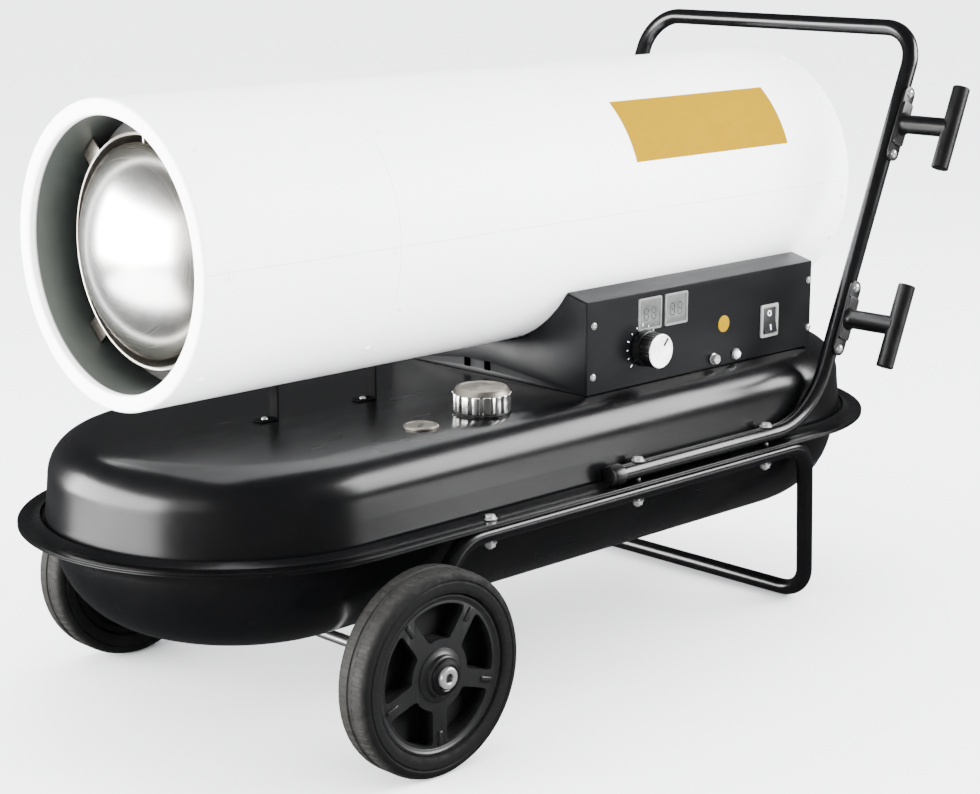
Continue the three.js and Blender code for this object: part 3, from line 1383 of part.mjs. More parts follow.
// From the pickup on the tank, up through the casing, to the tail of the nozzle.
function fuelHose() {
  const corners = [
    point(PICKUP_X, 0, TANK_TOP_Z + NIPPLE_LENGTH + GAP),
    point(PICKUP_X, 0, AXIS_Z),
    point(NOZZLE_END_X + GAP, 0, AXIS_Z),
  ];
  return tube(new BentLine(corners, [0, HOSE_BEND, 0]), HOSE_RADIUS, HOSE_SIDES);
}

// From the pump, down into the control box, forward beside its middle, and up to the nozzle.
function airHose() {
  const runZ = TANK_TOP_Z + HOSE_RUN_LIFT;
  const turn = -HOSE_RUN_Y;
  const corners = [
    point(PUMP_NIPPLE_X, 0, AXIS_Z - PUMP_RADIUS - NIPPLE_LENGTH - GAP),
    point(PUMP_NIPPLE_X, 0, runZ),
    point(PUMP_NIPPLE_X - turn, HOSE_RUN_Y, runZ),
    point(NOZZLE_NIPPLE_X + turn, HOSE_RUN_Y, runZ),
    point(NOZZLE_NIPPLE_X, 0, runZ),
    point(NOZZLE_NIPPLE_X, 0, AXIS_Z - NOZZLE_RADIUS - NIPPLE_LENGTH - GAP),
  ];
  const bends = [0, HOSE_BEND, HOSE_BEND, HOSE_BEND, HOSE_BEND, 0];
  return tube(new BentLine(corners, bends), HOSE_RADIUS, HOSE_SIDES);
}

function controlBox() {
  const face = -BOX_HALF_WIDTH;
  const group = new THREE.Group();
  group.add(
    named("control_panel", controlPanel(), FINISH.blackEnamel),
    named("right_panel", sidePanel(1), FINISH.blackEnamel),
    named("front_saddle_plate", saddlePlate(BOX_FRONT_X), FINISH.blackEnamel),
    named("rear_saddle_plate", saddlePlate(BOX_REAR_X - SHEET), FINISH.blackEnamel),
    named("control_board", controlBoard(), FINISH.board),
    groupAt(TRANSFORMER_X, TRANSFORMER_Y, TANK_TOP_Z, named("ignition_transformer", ignitionTransformer(), FINISH.blackPlastic)),
    named("fuel_hose", fuelHose(), FINISH.rubber),
    named("air_hose", airHose(), FINISH.rubber),
    groupAt(KNOB_X, face, KNOB_Z, named("thermostat_knob", thermostatKnob(), FINISH.blackPlastic)),
    groupAt(KNOB_X, face, KNOB_Z, named("thermostat_body", thermostatBody(), FINISH.blackPlastic)),
    groupAt(SWITCH_X, face, SWITCH_Z, named("switch_body", switchBody(), FINISH.blackPlastic)),
    groupAt(SWITCH_X, face, SWITCH_Z, named("switch_rocker", rocker(), FINISH.greyPlastic)),
    groupAt(DISPLAY_X, face, DISPLAY_Z, named("display_module", displayModule(), FINISH.greyPlastic)),
    groupAt(FUSE_X, face, FITTING_Z, named("fuse_holder", fuseHolder(), FINISH.blackPlastic)),
    groupAt(BUTTON_X, face, FITTING_Z, named("reset_switch", resetSwitch(), FINISH.zinc)),
    groupAt(BUTTON_X, face, FITTING_Z, named("reset_button", resetButton(), FINISH.redPlastic)),
  );
  return group;
}

// ---------------------------------------------------------------- The heater, centred on its footprint

const heater = new THREE.Group();
heater.add(tank(), frameParts(), wheels(), casing(), burner(), airMover(), controlBox());
const footprint = new THREE.Box3().setFromObject(heater, true);
const middle = footprint.getCenter(new THREE.Vector3());
heater.position.set(-middle.x, -middle.y, -footprint.min.z);

export default heater;
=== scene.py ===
"""The looks of a wheeled forced air heater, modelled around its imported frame.

Everything is drawn in millimetres about the heater's own planes: x runs along the air stream from the
outlet plane to the intake, y from the middle plane to the right-hand side and z up from the floor. A
finished piece is then settled into the frame's metres.
"""

from __future__ import annotations

import json
import logging
import math
from dataclasses import dataclass, field
from enum import Enum
from typing import Any, Callable, Sequence

import bpy
from mathutils import Matrix, Vector

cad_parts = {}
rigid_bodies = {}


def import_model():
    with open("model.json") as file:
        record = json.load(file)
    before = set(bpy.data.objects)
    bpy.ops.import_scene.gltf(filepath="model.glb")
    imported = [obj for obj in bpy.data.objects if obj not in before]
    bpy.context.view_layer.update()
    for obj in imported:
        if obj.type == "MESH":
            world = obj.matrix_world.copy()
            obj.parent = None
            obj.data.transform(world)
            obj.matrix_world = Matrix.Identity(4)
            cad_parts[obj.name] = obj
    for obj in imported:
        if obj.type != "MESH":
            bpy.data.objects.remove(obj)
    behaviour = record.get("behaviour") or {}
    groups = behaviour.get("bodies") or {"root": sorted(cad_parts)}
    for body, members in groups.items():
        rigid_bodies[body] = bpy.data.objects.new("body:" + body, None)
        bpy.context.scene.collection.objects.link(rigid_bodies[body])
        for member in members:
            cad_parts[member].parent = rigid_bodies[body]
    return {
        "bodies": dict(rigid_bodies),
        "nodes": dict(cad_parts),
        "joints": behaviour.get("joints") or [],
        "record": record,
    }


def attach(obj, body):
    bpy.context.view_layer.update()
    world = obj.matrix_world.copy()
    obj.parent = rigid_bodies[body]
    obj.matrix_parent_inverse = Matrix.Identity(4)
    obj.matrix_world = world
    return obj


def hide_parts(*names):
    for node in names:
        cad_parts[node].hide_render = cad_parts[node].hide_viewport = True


log = logging.getLogger("heater")

MM = 0.001
METRE = 1000
DATUM = Vector((-491.5, 8.2, 0.0))
GAP = 0.3
TANK_TOP = 307.65
AXIS_Z = 498.65
BODY = "heater"
SIDES = ((-1, "left"), (1, "right"))

Pair = tuple[float, float]
Triple = tuple[float, float, float]
Rgb = tuple[float, float, float]


class Axis(Enum):
    """The axis of the heater that a turned or extruded shape is built along."""

    X = Matrix(((0, 0, 1), (1, 0, 0), (0, 1, 0)))
    Y = Matrix(((0, 1, 0), (0, 0, 1), (1, 0, 0)))
    Z = Matrix(((1, 0, 0), (0, 1, 0), (0, 0, 1)))


class Pick(Enum):
    """What an edit-mode selection is made of."""

    VERTEX = "VERT"
    EDGE = "EDGE"
    FACE = "FACE"


# ------------------------------------------------------------------------------------------ Outlines


def arc(centre: Pair, radius: float, start: float, end: float, steps: int) -> list[Pair]:
    """Returns the points of an arc.

    Args:
        centre: The arc's centre.
        radius: Its radius.
        start: The angle of its first point, in degrees.
        end: The angle of its last point, in degrees.
        steps: The number of straight steps.

    Returns:
        The points, both ends included.
    """
    angles = [math.radians(start + (end - start) * i / steps) for i in range(steps + 1)]
    return [(centre[0] + radius * math.cos(a), centre[1] + radius * math.sin(a)) for a in angles]


def circle(centre: Pair, radius: float, sides: int = 32) -> list[Pair]:
    """Returns the corners of a round outline."""
    return arc(centre, radius, 0, 360, sides)[:-1]


def fluted(points: int, radius: Callable[[float], float]) -> list[Pair]:
    """Returns the corners of a round outline whose radius depends on the angle, in radians."""
    angles = [2 * math.pi * i / points for i in range(points)]
    return [(radius(a) * math.cos(a), radius(a) * math.sin(a)) for a in angles]


def rectangle(low: Pair, high: Pair, corner: float, steps: int = 4) -> list[Pair]:
    """Returns the outline of a rectangle with round corners."""
    (x0, y0), (x1, y1) = low, high
    centres = [(x1 - corner, y0 + corner), (x1 - corner, y1 - corner), (x0 + corner, y1 - corner),
               (x0 + corner, y0 + corner)]
    return [p for i, c in enumerate(centres) for p in arc(c, corner, -90 + 90 * i, 90 * i, steps)]


def softened(points: Sequence[Pair], radius: float, steps: int = 4) -> list[Pair]:
    """Rounds the corners of an outline.

    Args:
        points: The outline's corners in order.
        radius: How far along each side a corner's rounding starts.
        steps: The number of straight steps in each rounding.

    Returns:
        The rounded outline.
    """
    result: list[Pair] = []
    count = len(points)
    for i, corner in enumerate(points):
        here = Vector(corner)
        before, after = Vector(points[i - 1]), Vector(points[(i + 1) % count])
        start = here + (before - here).normalized() * min(radius, (before - here).length / 2)
        end = here + (after - here).normalized() * min(radius, (after - here).length / 2)
        for step in range(steps + 1):
            t = step / steps
            spot = start * (1 - t) ** 2 + here * 2 * t * (1 - t) + end * t**2
            result.append((spot.x, spot.y))
    return result


def bent_line(corners: Sequence[Triple], bends: Sequence[float], steps: int = 12) -> list[Vector]:
    """Returns the centre line of a bent tube.

    Args:
        corners: The corners that the straight runs would meet in, with both ends.
        bends: The bend radius at each corner, 0 at the ends.
        steps: The number of straight steps in each bend.

    Returns:
        The points of the line.
    """
    points = [Vector(corner) for corner in corners]
    line = [points[0]]
    for before, corner, after, radius in zip(points, points[1:], points[2:], bends[1:]):
        arriving, leaving = (corner - before).normalized(), (after - corner).normalized()
        turn = arriving.angle(leaving)
        start = corner - arriving * radius * math.tan(turn / 2)
        inward = (leaving - arriving * leaving.dot(arriving)).normalized()
        for step in range(steps + 1):
            angle = turn * step / steps
            line.append(start + arriving * radius * math.sin(angle) + inward * radius * (1 - math.cos(angle)))
    return line + [points[-1]]


# ------------------------------------------------------------------------------------------- Bench


class Bench:
    """Modelling steps on one object at a time, in the heater's millimetres."""

    MERGE = 0.002
    ON_AXIS = 1e-6

    @staticmethod
    def only(obj: bpy.types.Object) -> None:
        """Makes an object the only one selected, and the active one."""
        if bpy.context.mode != "OBJECT":
            bpy.ops.object.mode_set(mode="OBJECT")
        bpy.ops.object.select_all(action="DESELECT")
        obj.select_set(True)
        bpy.context.view_layer.objects.active = obj

    @staticmethod
    def edit(obj: bpy.types.Object, kind: Pick = Pick.VERTEX) -> None:
        """Opens an object in edit mode with everything selected."""
        Bench.only(obj)
        bpy.ops.object.mode_set(mode="EDIT")
        bpy.ops.mesh.select_mode(type=kind.value)
        bpy.ops.mesh.select_all(action="SELECT")

    @staticmethod
    def done() -> None:
        """Leaves edit mode."""
        bpy.ops.object.mode_set(mode="OBJECT")

    @staticmethod
    def pick_faces(obj: bpy.types.Object, test: Callable[[Vector], bool]) -> None:
        """Opens an object in edit mode with the faces selected whose middle passes a test."""
        Bench.edit(obj, Pick.FACE)
        bpy.ops.mesh.select_all(action="DESELECT")
        Bench.done()
        for face in obj.data.polygons:
            face.select = test(face.center)
        bpy.ops.object.mode_set(mode="EDIT")

    @staticmethod
    def face_outwards() -> None:
        """Turns all faces of the object in edit mode outwards."""
        bpy.ops.mesh.select_all(action="SELECT")
        bpy.ops.mesh.normals_make_consistent(inside=False)

    @staticmethod
    def healed(obj: bpy.types.Object) -> bpy.types.Object:
        """Merges doubles, drops loose ends and turns all faces outwards."""
        Bench.edit(obj)
        bpy.ops.mesh.remove_doubles(threshold=Bench.MERGE)
        bpy.ops.mesh.delete_loose()
        Bench.face_outwards()
        Bench.done()
        return obj

    @staticmethod
    def moved(obj: bpy.types.Object, matrix: Matrix) -> bpy.types.Object:
        """Applies a placing to an object, so that it stays at the origin."""
        Bench.only(obj)
        obj.matrix_world = matrix @ obj.matrix_world
        bpy.ops.object.transform_apply(location=True, rotation=True, scale=True)
        return obj

    @staticmethod
    def at(obj: bpy.types.Object, x: float = 0, y: float = 0, z: float = 0) -> bpy.types.Object:
        """Moves an object by a distance along each axis."""
        return Bench.moved(obj, Matrix.Translation((x, y, z)))

    @staticmethod
    def turned_by(obj: bpy.types.Object, degrees: float, axis: Axis) -> bpy.types.Object:
        """Turns an object about one of the axes through the origin."""
        return Bench.moved(obj, Matrix.Rotation(math.radians(degrees), 4, axis.name))

    @staticmethod
    def copied(obj: bpy.types.Object) -> bpy.types.Object:
        """Returns a copy of an object with a mesh of its own."""
        twin = obj.copy()
        twin.data = obj.data.copy()
        bpy.context.scene.collection.objects.link(twin)
        return twin

    @staticmethod
    def joined(*pieces: bpy.types.Object) -> bpy.types.Object:
        """Joins finished shapes into the first of them."""
        Bench.only(pieces[0])
        for piece in pieces:
            piece.select_set(True)
        if len(pieces) > 1:
            bpy.ops.object.join()
        return pieces[0]

    @staticmethod
    def on_air_line(*pieces: bpy.types.Object) -> bpy.types.Object:
        """Joins shapes built about the x axis and lifts them to the casing's axis."""
        return Bench.at(Bench.joined(*pieces), z=AXIS_Z)

    @staticmethod
    def modified(obj: bpy.types.Object, kind: str, **settings: Any) -> bpy.types.Object:
        """Adds a modifier with its settings and applies it."""
        Bench.only(obj)
        modifier = obj.modifiers.new(kind.title(), kind)
        for name, value in settings.items():
            setattr(modifier, name, value)
        bpy.ops.object.modifier_apply(modifier=modifier.name)
        return obj

    @staticmethod
    def beveled(obj: bpy.types.Object, width: float, segments: int = 2, angle: float = 30) -> bpy.types.Object:
        """Rounds every edge sharper than an angle."""
        return Bench.modified(obj, "BEVEL", width=width, segments=segments, limit_method="ANGLE",
                              angle_limit=math.radians(angle), use_clamp_overlap=True, harden_normals=False)

    @staticmethod
    def cut(obj: bpy.types.Object, *tools: bpy.types.Object) -> bpy.types.Object:
        """Cuts shapes out of an object and removes them."""
        for tool in tools:
            Bench.modified(obj, "BOOLEAN", object=tool, solver="EXACT", operation="DIFFERENCE")
            bpy.data.objects.remove(tool)
        return obj

    @staticmethod
    def ring(points: Sequence[Sequence[float]], closed: bool = True) -> bpy.types.Object:
        """Draws a loop or a chain of edges through points, from a circle with its vertices moved."""
        bpy.ops.object.select_all(action="DESELECT")
        bpy.ops.mesh.primitive_circle_add(vertices=len(points), radius=1, fill_type="NOTHING")
        obj = bpy.context.active_object
        for vertex, point in zip(obj.data.vertices, points):
            vertex.co = Vector(point)
        if not closed:
            Bench.edit(obj, Pick.EDGE)
            bpy.ops.mesh.select_all(action="DESELECT")
            Bench.done()
            last = len(points) - 1
            for edge in obj.data.edges:
                edge.select = set(edge.vertices) == {0, last}
            bpy.ops.object.mode_set(mode="EDIT")
            bpy.ops.mesh.delete(type="EDGE_FACE")
            Bench.done()
        return obj

    @staticmethod
    def turned(profile: Sequence[Pair], axis: Axis = Axis.Z, steps: int = 64, start: float = 0,
               sweep: float = 360) -> bpy.types.Object:
        """Spins a profile into a turned shape.

        Args:
            profile: Points of radius and place along the axis: a loop, or a chain with both ends on the axis.
            axis: The axis that it is spun about.
            steps: The number of steps round.
            start: The angle at which it starts, in degrees.
            sweep: How far round it goes, in degrees.

        Returns:
            The closed shape.
        """
        angle = math.radians(start)
        on_axis = profile[0][0] < Bench.ON_AXIS and profile[-1][0] < Bench.ON_AXIS
        points = [(r * math.cos(angle), r * math.sin(angle), along) for r, along in profile]
        obj = Bench.ring(points, closed=not on_axis)
        Bench.edit(obj)
        bpy.ops.mesh.spin(steps=steps, angle=-math.radians(sweep), center=(0, 0, 0), axis=(0, 0, 1))
        Bench.done()
        Bench.healed(obj)
        if sweep < 360:
            Bench.edit(obj)
            bpy.ops.mesh.fill_holes(sides=0)
            Bench.face_outwards()
            Bench.done()
        return Bench.moved(obj, axis.value.to_4x4())

    @staticmethod
    def racetrack(profile: Sequence[Pair], half_width: float, front: float, rear: float,
                  steps: int = 48) -> bpy.types.Object:
        """Sweeps a profile round a track of two straights and two half circles.

        Args:
            profile: A chain of insets from the track's outline and heights, both ends on the middle line.
            half_width: Half of the track's width.
            front: The x of the front half circle's centre.
            rear: The x of the rear half circle's centre.
            steps: The number of steps round each half circle.

        Returns:
            The closed shape.
        """
        obj = Bench.ring([(rear, half_width - inset, z) for inset, z in profile], closed=False)
        Bench.edit(obj)
        for centre, travel in ((front, front - rear), (rear, rear - front)):
            bpy.ops.mesh.extrude_region_move(TRANSFORM_OT_translate={"value": (travel, 0, 0)})
            bpy.ops.mesh.spin(steps=steps, angle=-math.pi, center=(centre, 0, 0), axis=(0, 0, 1))
        Bench.done()
        return Bench.healed(obj)

    @staticmethod
    def plate(outline: Sequence[Pair], low: float, high: float, axis: Axis = Axis.Z,
              holes: Sequence[Sequence[Pair]] = (), soft: float = 0, segments: int = 2) -> bpy.types.Object:
        """Cuts a plate out along an outline.

        Args:
            outline: Its outline, across the axis.
            low: The place of its lower face along the axis.
            high: The place of its upper face.
            axis: The axis that it is thick along.
            holes: Outlines of openings through it.
            soft: The radius of its edges.
            segments: The number of steps in an edge's rounding.

        Returns:
            The closed shape.
        """
        drawing = bpy.data.curves.new("plate", "CURVE")
        drawing.dimensions = "2D"
        drawing.fill_mode = "BOTH"
        for loop in (outline, *holes):
            spline = drawing.splines.new("POLY")
            spline.points.add(len(loop) - 1)
            for spot, (u, v) in zip(spline.points, loop):
                spot.co = (u, v, 0, 1)
            spline.use_cyclic_u = True
        drawing.extrude = (high - low) / 2 - soft
        drawing.bevel_depth = soft
        drawing.bevel_resolution = segments - 1
        drawing.offset = -soft
        obj = bpy.data.objects.new("plate", drawing)
        bpy.context.scene.collection.objects.link(obj)
        Bench.only(obj)
        bpy.ops.object.convert(target="MESH")
        Bench.healed(bpy.context.active_object)
        return Bench.moved(obj, axis.value.to_4x4() @ Matrix.Translation((0, 0, (low + high) / 2)))

    @staticmethod
    def block(low: Triple, high: Triple, soft: float = 0, segments: int = 2) -> bpy.types.Object:
        """Adds a box between two corners with rounded edges."""
        size = [b - a for a, b in zip(low, high)]
        middle = [(a + b) / 2 for a, b in zip(low, high)]
        bpy.ops.object.select_all(action="DESELECT")
        bpy.ops.mesh.primitive_cube_add(size=1, location=middle)
        obj = bpy.context.active_object
        obj.scale = size
        bpy.ops.object.transform_apply(location=True, rotation=True, scale=True)
        return Bench.beveled(obj, soft, segments) if soft > 0 else obj

    @staticmethod
    def tube(line: Sequence[Vector], radius: float, resolution: int = 8) -> bpy.types.Object:
        """Draws a round solid bar along a line of points."""
        path = bpy.data.curves.new("tube", "CURVE")
        path.dimensions = "3D"
        spline = path.splines.new("POLY")
        spline.points.add(len(line) - 1)
        for spot, point in zip(spline.points, line):
            spot.co = (*point, 1)
        path.bevel_depth = radius
        path.bevel_resolution = resolution
        path.use_fill_caps = True
        obj = bpy.data.objects.new("tube", path)
        bpy.context.scene.collection.objects.link(obj)
        Bench.only(obj)
        bpy.ops.object.convert(target="MESH")
        return Bench.healed(bpy.context.active_object)


# ------------------------------------------------------------------------------------------ Surfaces


class Signal:
    """A shader socket that takes part in Python sums."""

    def __init__(self, board: Board, socket: bpy.types.NodeSocket) -> None:
        """Wraps an output socket of a board's node."""
        self.board = board
        self.socket = socket

    def __add__(self, other: Signal | float) -> Signal:
        """Returns the sum."""
        return self.board.math("ADD", self, other)

    def __mul__(self, other: Signal | float) -> Signal:
        """Returns the product."""
        return self.board.math("MULTIPLY", self, other)

    def __sub__(self, other: Signal | float) -> Signal:
        """Returns the difference."""
        return self.board.math("SUBTRACT", self, other)

    def __pow__(self, other: float) -> Signal:
        """Returns the power."""
        return self.board.math("POWER", self, other)

    __radd__ = __add__
    __rmul__ = __mul__


Value = Signal | float | Sequence[float]


class Board:
    """The node tree of one material."""

    def __init__(self, name: str) -> None:
        """Starts an empty material."""
        self.material = bpy.data.materials.new(name)
        self.material.use_nodes = True
        self.tree = self.material.node_tree
        self.tree.nodes.clear()

    def add(self, kind: str, settings: dict[str, Any] | None = None, sockets: dict[str | int, Value] | None = None,
            out: str | int = 0) -> Signal:
        """Adds a node.

        Args:
            kind: The node's type.
            settings: Its own settings, set first.
            sockets: The values or links of its inputs, by name, identifier or number.
            out: The output that is returned.

        Returns:
            The chosen output.
        """
        node = self.tree.nodes.new(kind)
        for name, value in (settings or {}).items():
            setattr(node, name, value)
        for key, value in (sockets or {}).items():
            socket = self.find(node.inputs, key)
            if isinstance(value, Signal):
                self.tree.links.new(value.socket, socket)
            else:
                socket.default_value = value
        return Signal(self, self.find(node.outputs, out))

    @staticmethod
    def find(sockets: Any, key: str | int) -> bpy.types.NodeSocket:
        """Returns a socket by its number, identifier or name."""
        if isinstance(key, int):
            return sockets[key]
        return next((s for s in sockets if s.identifier == key), None) or sockets[key]

    def math(self, operation: str, *values: Signal | float) -> Signal:
        """Returns the result of a Math node."""
        return self.add("ShaderNodeMath", {"operation": operation}, dict(enumerate(values)))

    def place(self) -> Signal:
        """Returns the coordinates of the surface in the frame, in metres."""
        return self.add("ShaderNodeTexCoord", out="Object")

    def part(self, vector: Signal, letter: str) -> Signal:
        """Returns one component of a vector."""
        return self.add("ShaderNodeSeparateXYZ", None, {0: vector}, letter)

    def stretched(self, stretch: Triple) -> Signal:
        """Returns the coordinates scaled along each axis."""
        return self.add("ShaderNodeMapping", None, {"Vector": self.place(), "Scale": stretch})

    def noise(self, scale: float, detail: float = 2, rough: float = 0.5, stretch: Triple = (1, 1, 1)) -> Signal:
        """Returns cloudy noise, with a scale in features per metre."""
        vector = self.place() if stretch == (1, 1, 1) else self.stretched(stretch)
        return self.add("ShaderNodeTexNoise", None,
                        {"Vector": vector, "Scale": scale, "Detail": detail, "Roughness": rough})

    def cells(self, scale: float) -> Signal:
        """Returns the distance to the edges of a cell pattern."""
        return self.add("ShaderNodeTexVoronoi", {"feature": "DISTANCE_TO_EDGE"},
                        {"Vector": self.place(), "Scale": scale}, "Distance")

    def streaks(self, along: Signal, scale: float, detail: float, rough: float) -> Signal:
        """Returns noise that runs along one value only."""
        return self.add("ShaderNodeTexNoise", {"noise_dimensions": "1D"},
                        {"W": along, "Scale": scale, "Detail": detail, "Roughness": rough})

    def spread(self, value: Signal, low: float, high: float, to_low: float = 0, to_high: float = 1) -> Signal:
        """Returns a value carried smoothly from one range to another."""
        return self.add("ShaderNodeMapRange", {"interpolation_type": "SMOOTHSTEP"},
                        {0: value, 1: low, 2: high, 3: to_low, 4: to_high})

    def mix(self, share: Signal | float, first: Value, second: Value) -> Signal:
        """Returns two colours mixed."""
        pair = [v if isinstance(v, Signal) else (*v, 1) for v in (first, second)]
        return self.add("ShaderNodeMix", {"data_type": "RGBA"},
                        {"Factor_Float": share, "A_Color": pair[0], "B_Color": pair[1]}, "Result_Color")

    def bump(self, height: Signal, depth: float, strength: float = 1, normal: Signal | None = None) -> Signal:
        """Returns a normal that a height in metres bends."""
        sockets: dict[str | int, Value] = {"Height": height, "Distance": depth, "Strength": strength}
        if normal:
            sockets["Normal"] = normal
        return self.add("ShaderNodeBump", None, sockets)

    def radius(self, x: float | None, y: float | None, z: float | None) -> Signal:
        """Returns the distance from a line of the heater, in metres.

        Args:
            x: The line's x in millimetres, or None where it runs along x.
            y: Its y, or None where it runs along y.
            z: Its z, or None where it runs along z.

        Returns:
            The distance.
        """
        point = self.place()
        total: Signal | None = None
        for letter, centre, shift in zip("XYZ", (x, y, z), DATUM):
            if centre is not None:
                square = (self.part(point, letter) - (centre + shift) * MM) ** 2
                total = square if total is None else total + square
        return total ** 0.5

    def along(self, letter: str) -> Signal:
        """Returns the heater's own x, y or z, in millimetres."""
        shift = DATUM["XYZ".index(letter)] * MM
        return (self.part(self.place(), letter) - shift) * METRE

    def finish(self, **sockets: Value) -> bpy.types.Material:
        """Ends the material in a principled shader.

        Args:
            **sockets: Its inputs, with underscores for spaces.

        Returns:
            The material.
        """
        named = {key.replace("_", " "): value for key, value in sockets.items()}
        colour = named.get("Base Color")
        if colour is not None and not isinstance(colour, Signal):
            named["Base Color"] = (*colour, 1)
        shader = self.add("ShaderNodeBsdfPrincipled", None, named)
        output = self.tree.nodes.new("ShaderNodeOutputMaterial")
        self.tree.links.new(shader.socket, output.inputs["Surface"])
        return self.material


MADE: dict[str, bpy.types.Material] = {}


@dataclass(frozen=True)
class Finish:
    """A finish that a material is made from once."""

    name: str

    def board(self) -> Board:
        """Returns an empty board for this finish."""
        return Board(self.name)

    def make(self) -> bpy.types.Material:
        """Builds the material."""
        raise NotImplementedError

    def material(self) -> bpy.types.Material:
        """Returns the material, made on first use."""
        if self.name not in MADE:
            MADE[self.name] = self.make()
        return MADE[self.name]


@dataclass(frozen=True)
class Coating(Finish):
    """Sprayed and baked paint with a fine orange peel."""

    colour: Rgb
    shade: Rgb
    roughness: float
    peel: float = 0.00005
    wave: float = 0.0
    level: float = 0.5

    def make(self) -> bpy.types.Material:
        """Builds the paint: its clouds, its smears, its peel and its slow waves."""
        board = self.board()
        clouds = board.noise(9, 4, 0.6)
        colour = board.mix(board.spread(clouds, 0.3, 0.75), self.colour, self.shade)
        smear = board.noise(24, 2, 0.5, (0.35, 1, 1))
        rough = self.roughness * (0.88 + 0.24 * board.spread(smear, 0.25, 0.8))
        normal = board.bump(board.noise(240, 1, 0.4), self.peel, 0.5)
        if self.wave > 0:
            normal = board.bump(board.noise(14, 1, 0.4), self.wave, 0.6, normal)
        return board.finish(Base_Color=colour, Roughness=rough, Normal=normal, Specular_IOR_Level=self.level)


@dataclass(frozen=True)
class Moulding(Finish):
    """Moulded plastic with a fine spark-eroded grain."""

    colour: Rgb
    roughness: float
    grain: float = 0.00006
    scale: float = 1500

    def make(self) -> bpy.types.Material:
        """Builds the plastic: its grain and faint handling marks."""
        board = self.board()
        dark = tuple(c * 0.72 for c in self.colour)
        colour = board.mix(board.spread(board.noise(60, 4, 0.6), 0.35, 0.7), self.colour, dark)
        rough = board.spread(board.noise(38, 4, 0.6), 0.3, 0.75, self.roughness * 0.85, self.roughness * 1.15)
        return board.finish(Base_Color=colour, Roughness=rough,
                            Normal=board.bump(board.noise(self.scale, 2, 0.6), self.grain, 0.8))


@dataclass(frozen=True)
class Metal(Finish):
    """Bare or plated metal with fine drawing marks."""

    colour: Rgb
    roughness: float
    stretch: Triple = (1, 1, 1)
    marks: float = 0.00002
    tint: Rgb = (0.55, 0.5, 0.42)
    stain: float = 0.15
    bare: float = 1.0

    def make(self) -> bpy.types.Material:
        """Builds the metal: its drawing marks, its stains and its uneven polish."""
        board = self.board()
        lines = board.noise(900, 3, 0.6, self.stretch)
        stains = board.spread(board.noise(45, 5, 0.65), 0.45, 0.8) * self.stain
        colour = board.mix(stains, self.colour, self.tint)
        rough = board.spread(lines, 0.2, 0.8, self.roughness * 0.8, self.roughness * 1.25)
        return board.finish(Base_Color=colour, Metallic=self.bare, Roughness=rough,
                            Normal=board.bump(lines, self.marks, 0.6))


@dataclass(frozen=True)
class SpunSteel(Finish):
    """Stainless sheet spun about the casing's axis and polished."""

    colour: Rgb
    roughness: float
    heat_from: float
    heat_to: float

    def make(self) -> bpy.types.Material:
        """Builds the steel: its turning rings, and a straw tint towards the rim."""
        board = self.board()
        radius = board.radius(None, 0, AXIS_Z)
        rings = board.streaks(radius * 1600, 1, 3, 0.6)
        cloud = board.noise(22, 4, 0.6)
        heat = board.spread(radius * METRE + cloud * 24 - 12, self.heat_from, self.heat_to)
        colour = board.mix(heat * 0.65, self.colour, (0.5, 0.43, 0.35))
        rough = board.spread(rings, 0.25, 0.8, self.roughness * 0.8, self.roughness * 1.3) + cloud * 0.05
        return board.finish(Base_Color=colour, Metallic=1.0, Roughness=rough,
                            Normal=board.bump(rings, 0.00003, 0.5))


@dataclass(frozen=True)
class OutletPaint(Finish):
    """The casing's white on the outlet's lip, and bare grey sheet on the liner inside it, with painted shade deeper in.
    """

    white: Coating
    liner: Rgb
    edge: float

    def make(self) -> bpy.types.Material:
        """Builds both coats, with the liner's grey starting inside the lip and darkened by painted shade further into
        the casing.
        """
        board = self.board()
        inside = board.spread(board.radius(None, 0, AXIS_Z) * METRE, self.edge + 0.9, self.edge + 0.2)
        depth = board.spread(board.along("X"), 6, 10)
        share = inside * depth
        # painted shade: the liner darkens deeper into the casing
        painted_liner_shade = board.spread(board.along("X") + board.noise(30, 4, 0.6) * 30, 25, 85)
        grey = board.mix(painted_liner_shade, self.liner, tuple(c * 0.32 for c in self.liner))
        colour = board.mix(share, self.white.colour, grey)
        rough = self.white.roughness + share * 0.12
        return board.finish(Base_Color=colour, Roughness=rough, Metallic=share * 0.35,
                            Normal=board.bump(board.noise(620, 1.5, 0.5), self.white.peel, 0.7))


@dataclass(frozen=True)
class Rubber(Finish):
    """Tyre rubber with a dusty tread, about an axle."""

    colour: Rgb
    dust: Rgb
    axle: Pair
    tread: float

    def make(self) -> bpy.types.Material:
        """Builds the rubber: a dark wall, a pale mottled tread and a grain."""
        board = self.board()
        radius = board.radius(self.axle[0], None, self.axle[1]) * METRE
        worn = board.spread(radius, self.tread - 5, self.tread + 1)
        mottle = board.spread(board.noise(85, 5, 0.7), 0.32, 0.68)
        scuff = board.spread(board.noise(26, 4, 0.6), 0.5, 0.75) * 0.25
        colour = board.mix(worn * (0.45 + 0.55 * mottle) + scuff * 0.3, self.colour, self.dust)
        rings = board.streaks(radius, 1.4, 2, 0.5)
        grain = board.bump(board.noise(900, 3, 0.6), 0.00018, 0.7)
        return board.finish(Base_Color=colour, Roughness=board.spread(mottle, 0, 1, 0.62, 0.85),
                            Specular_IOR_Level=0.25, Normal=board.bump(rings, 0.0001, 0.4, grain))


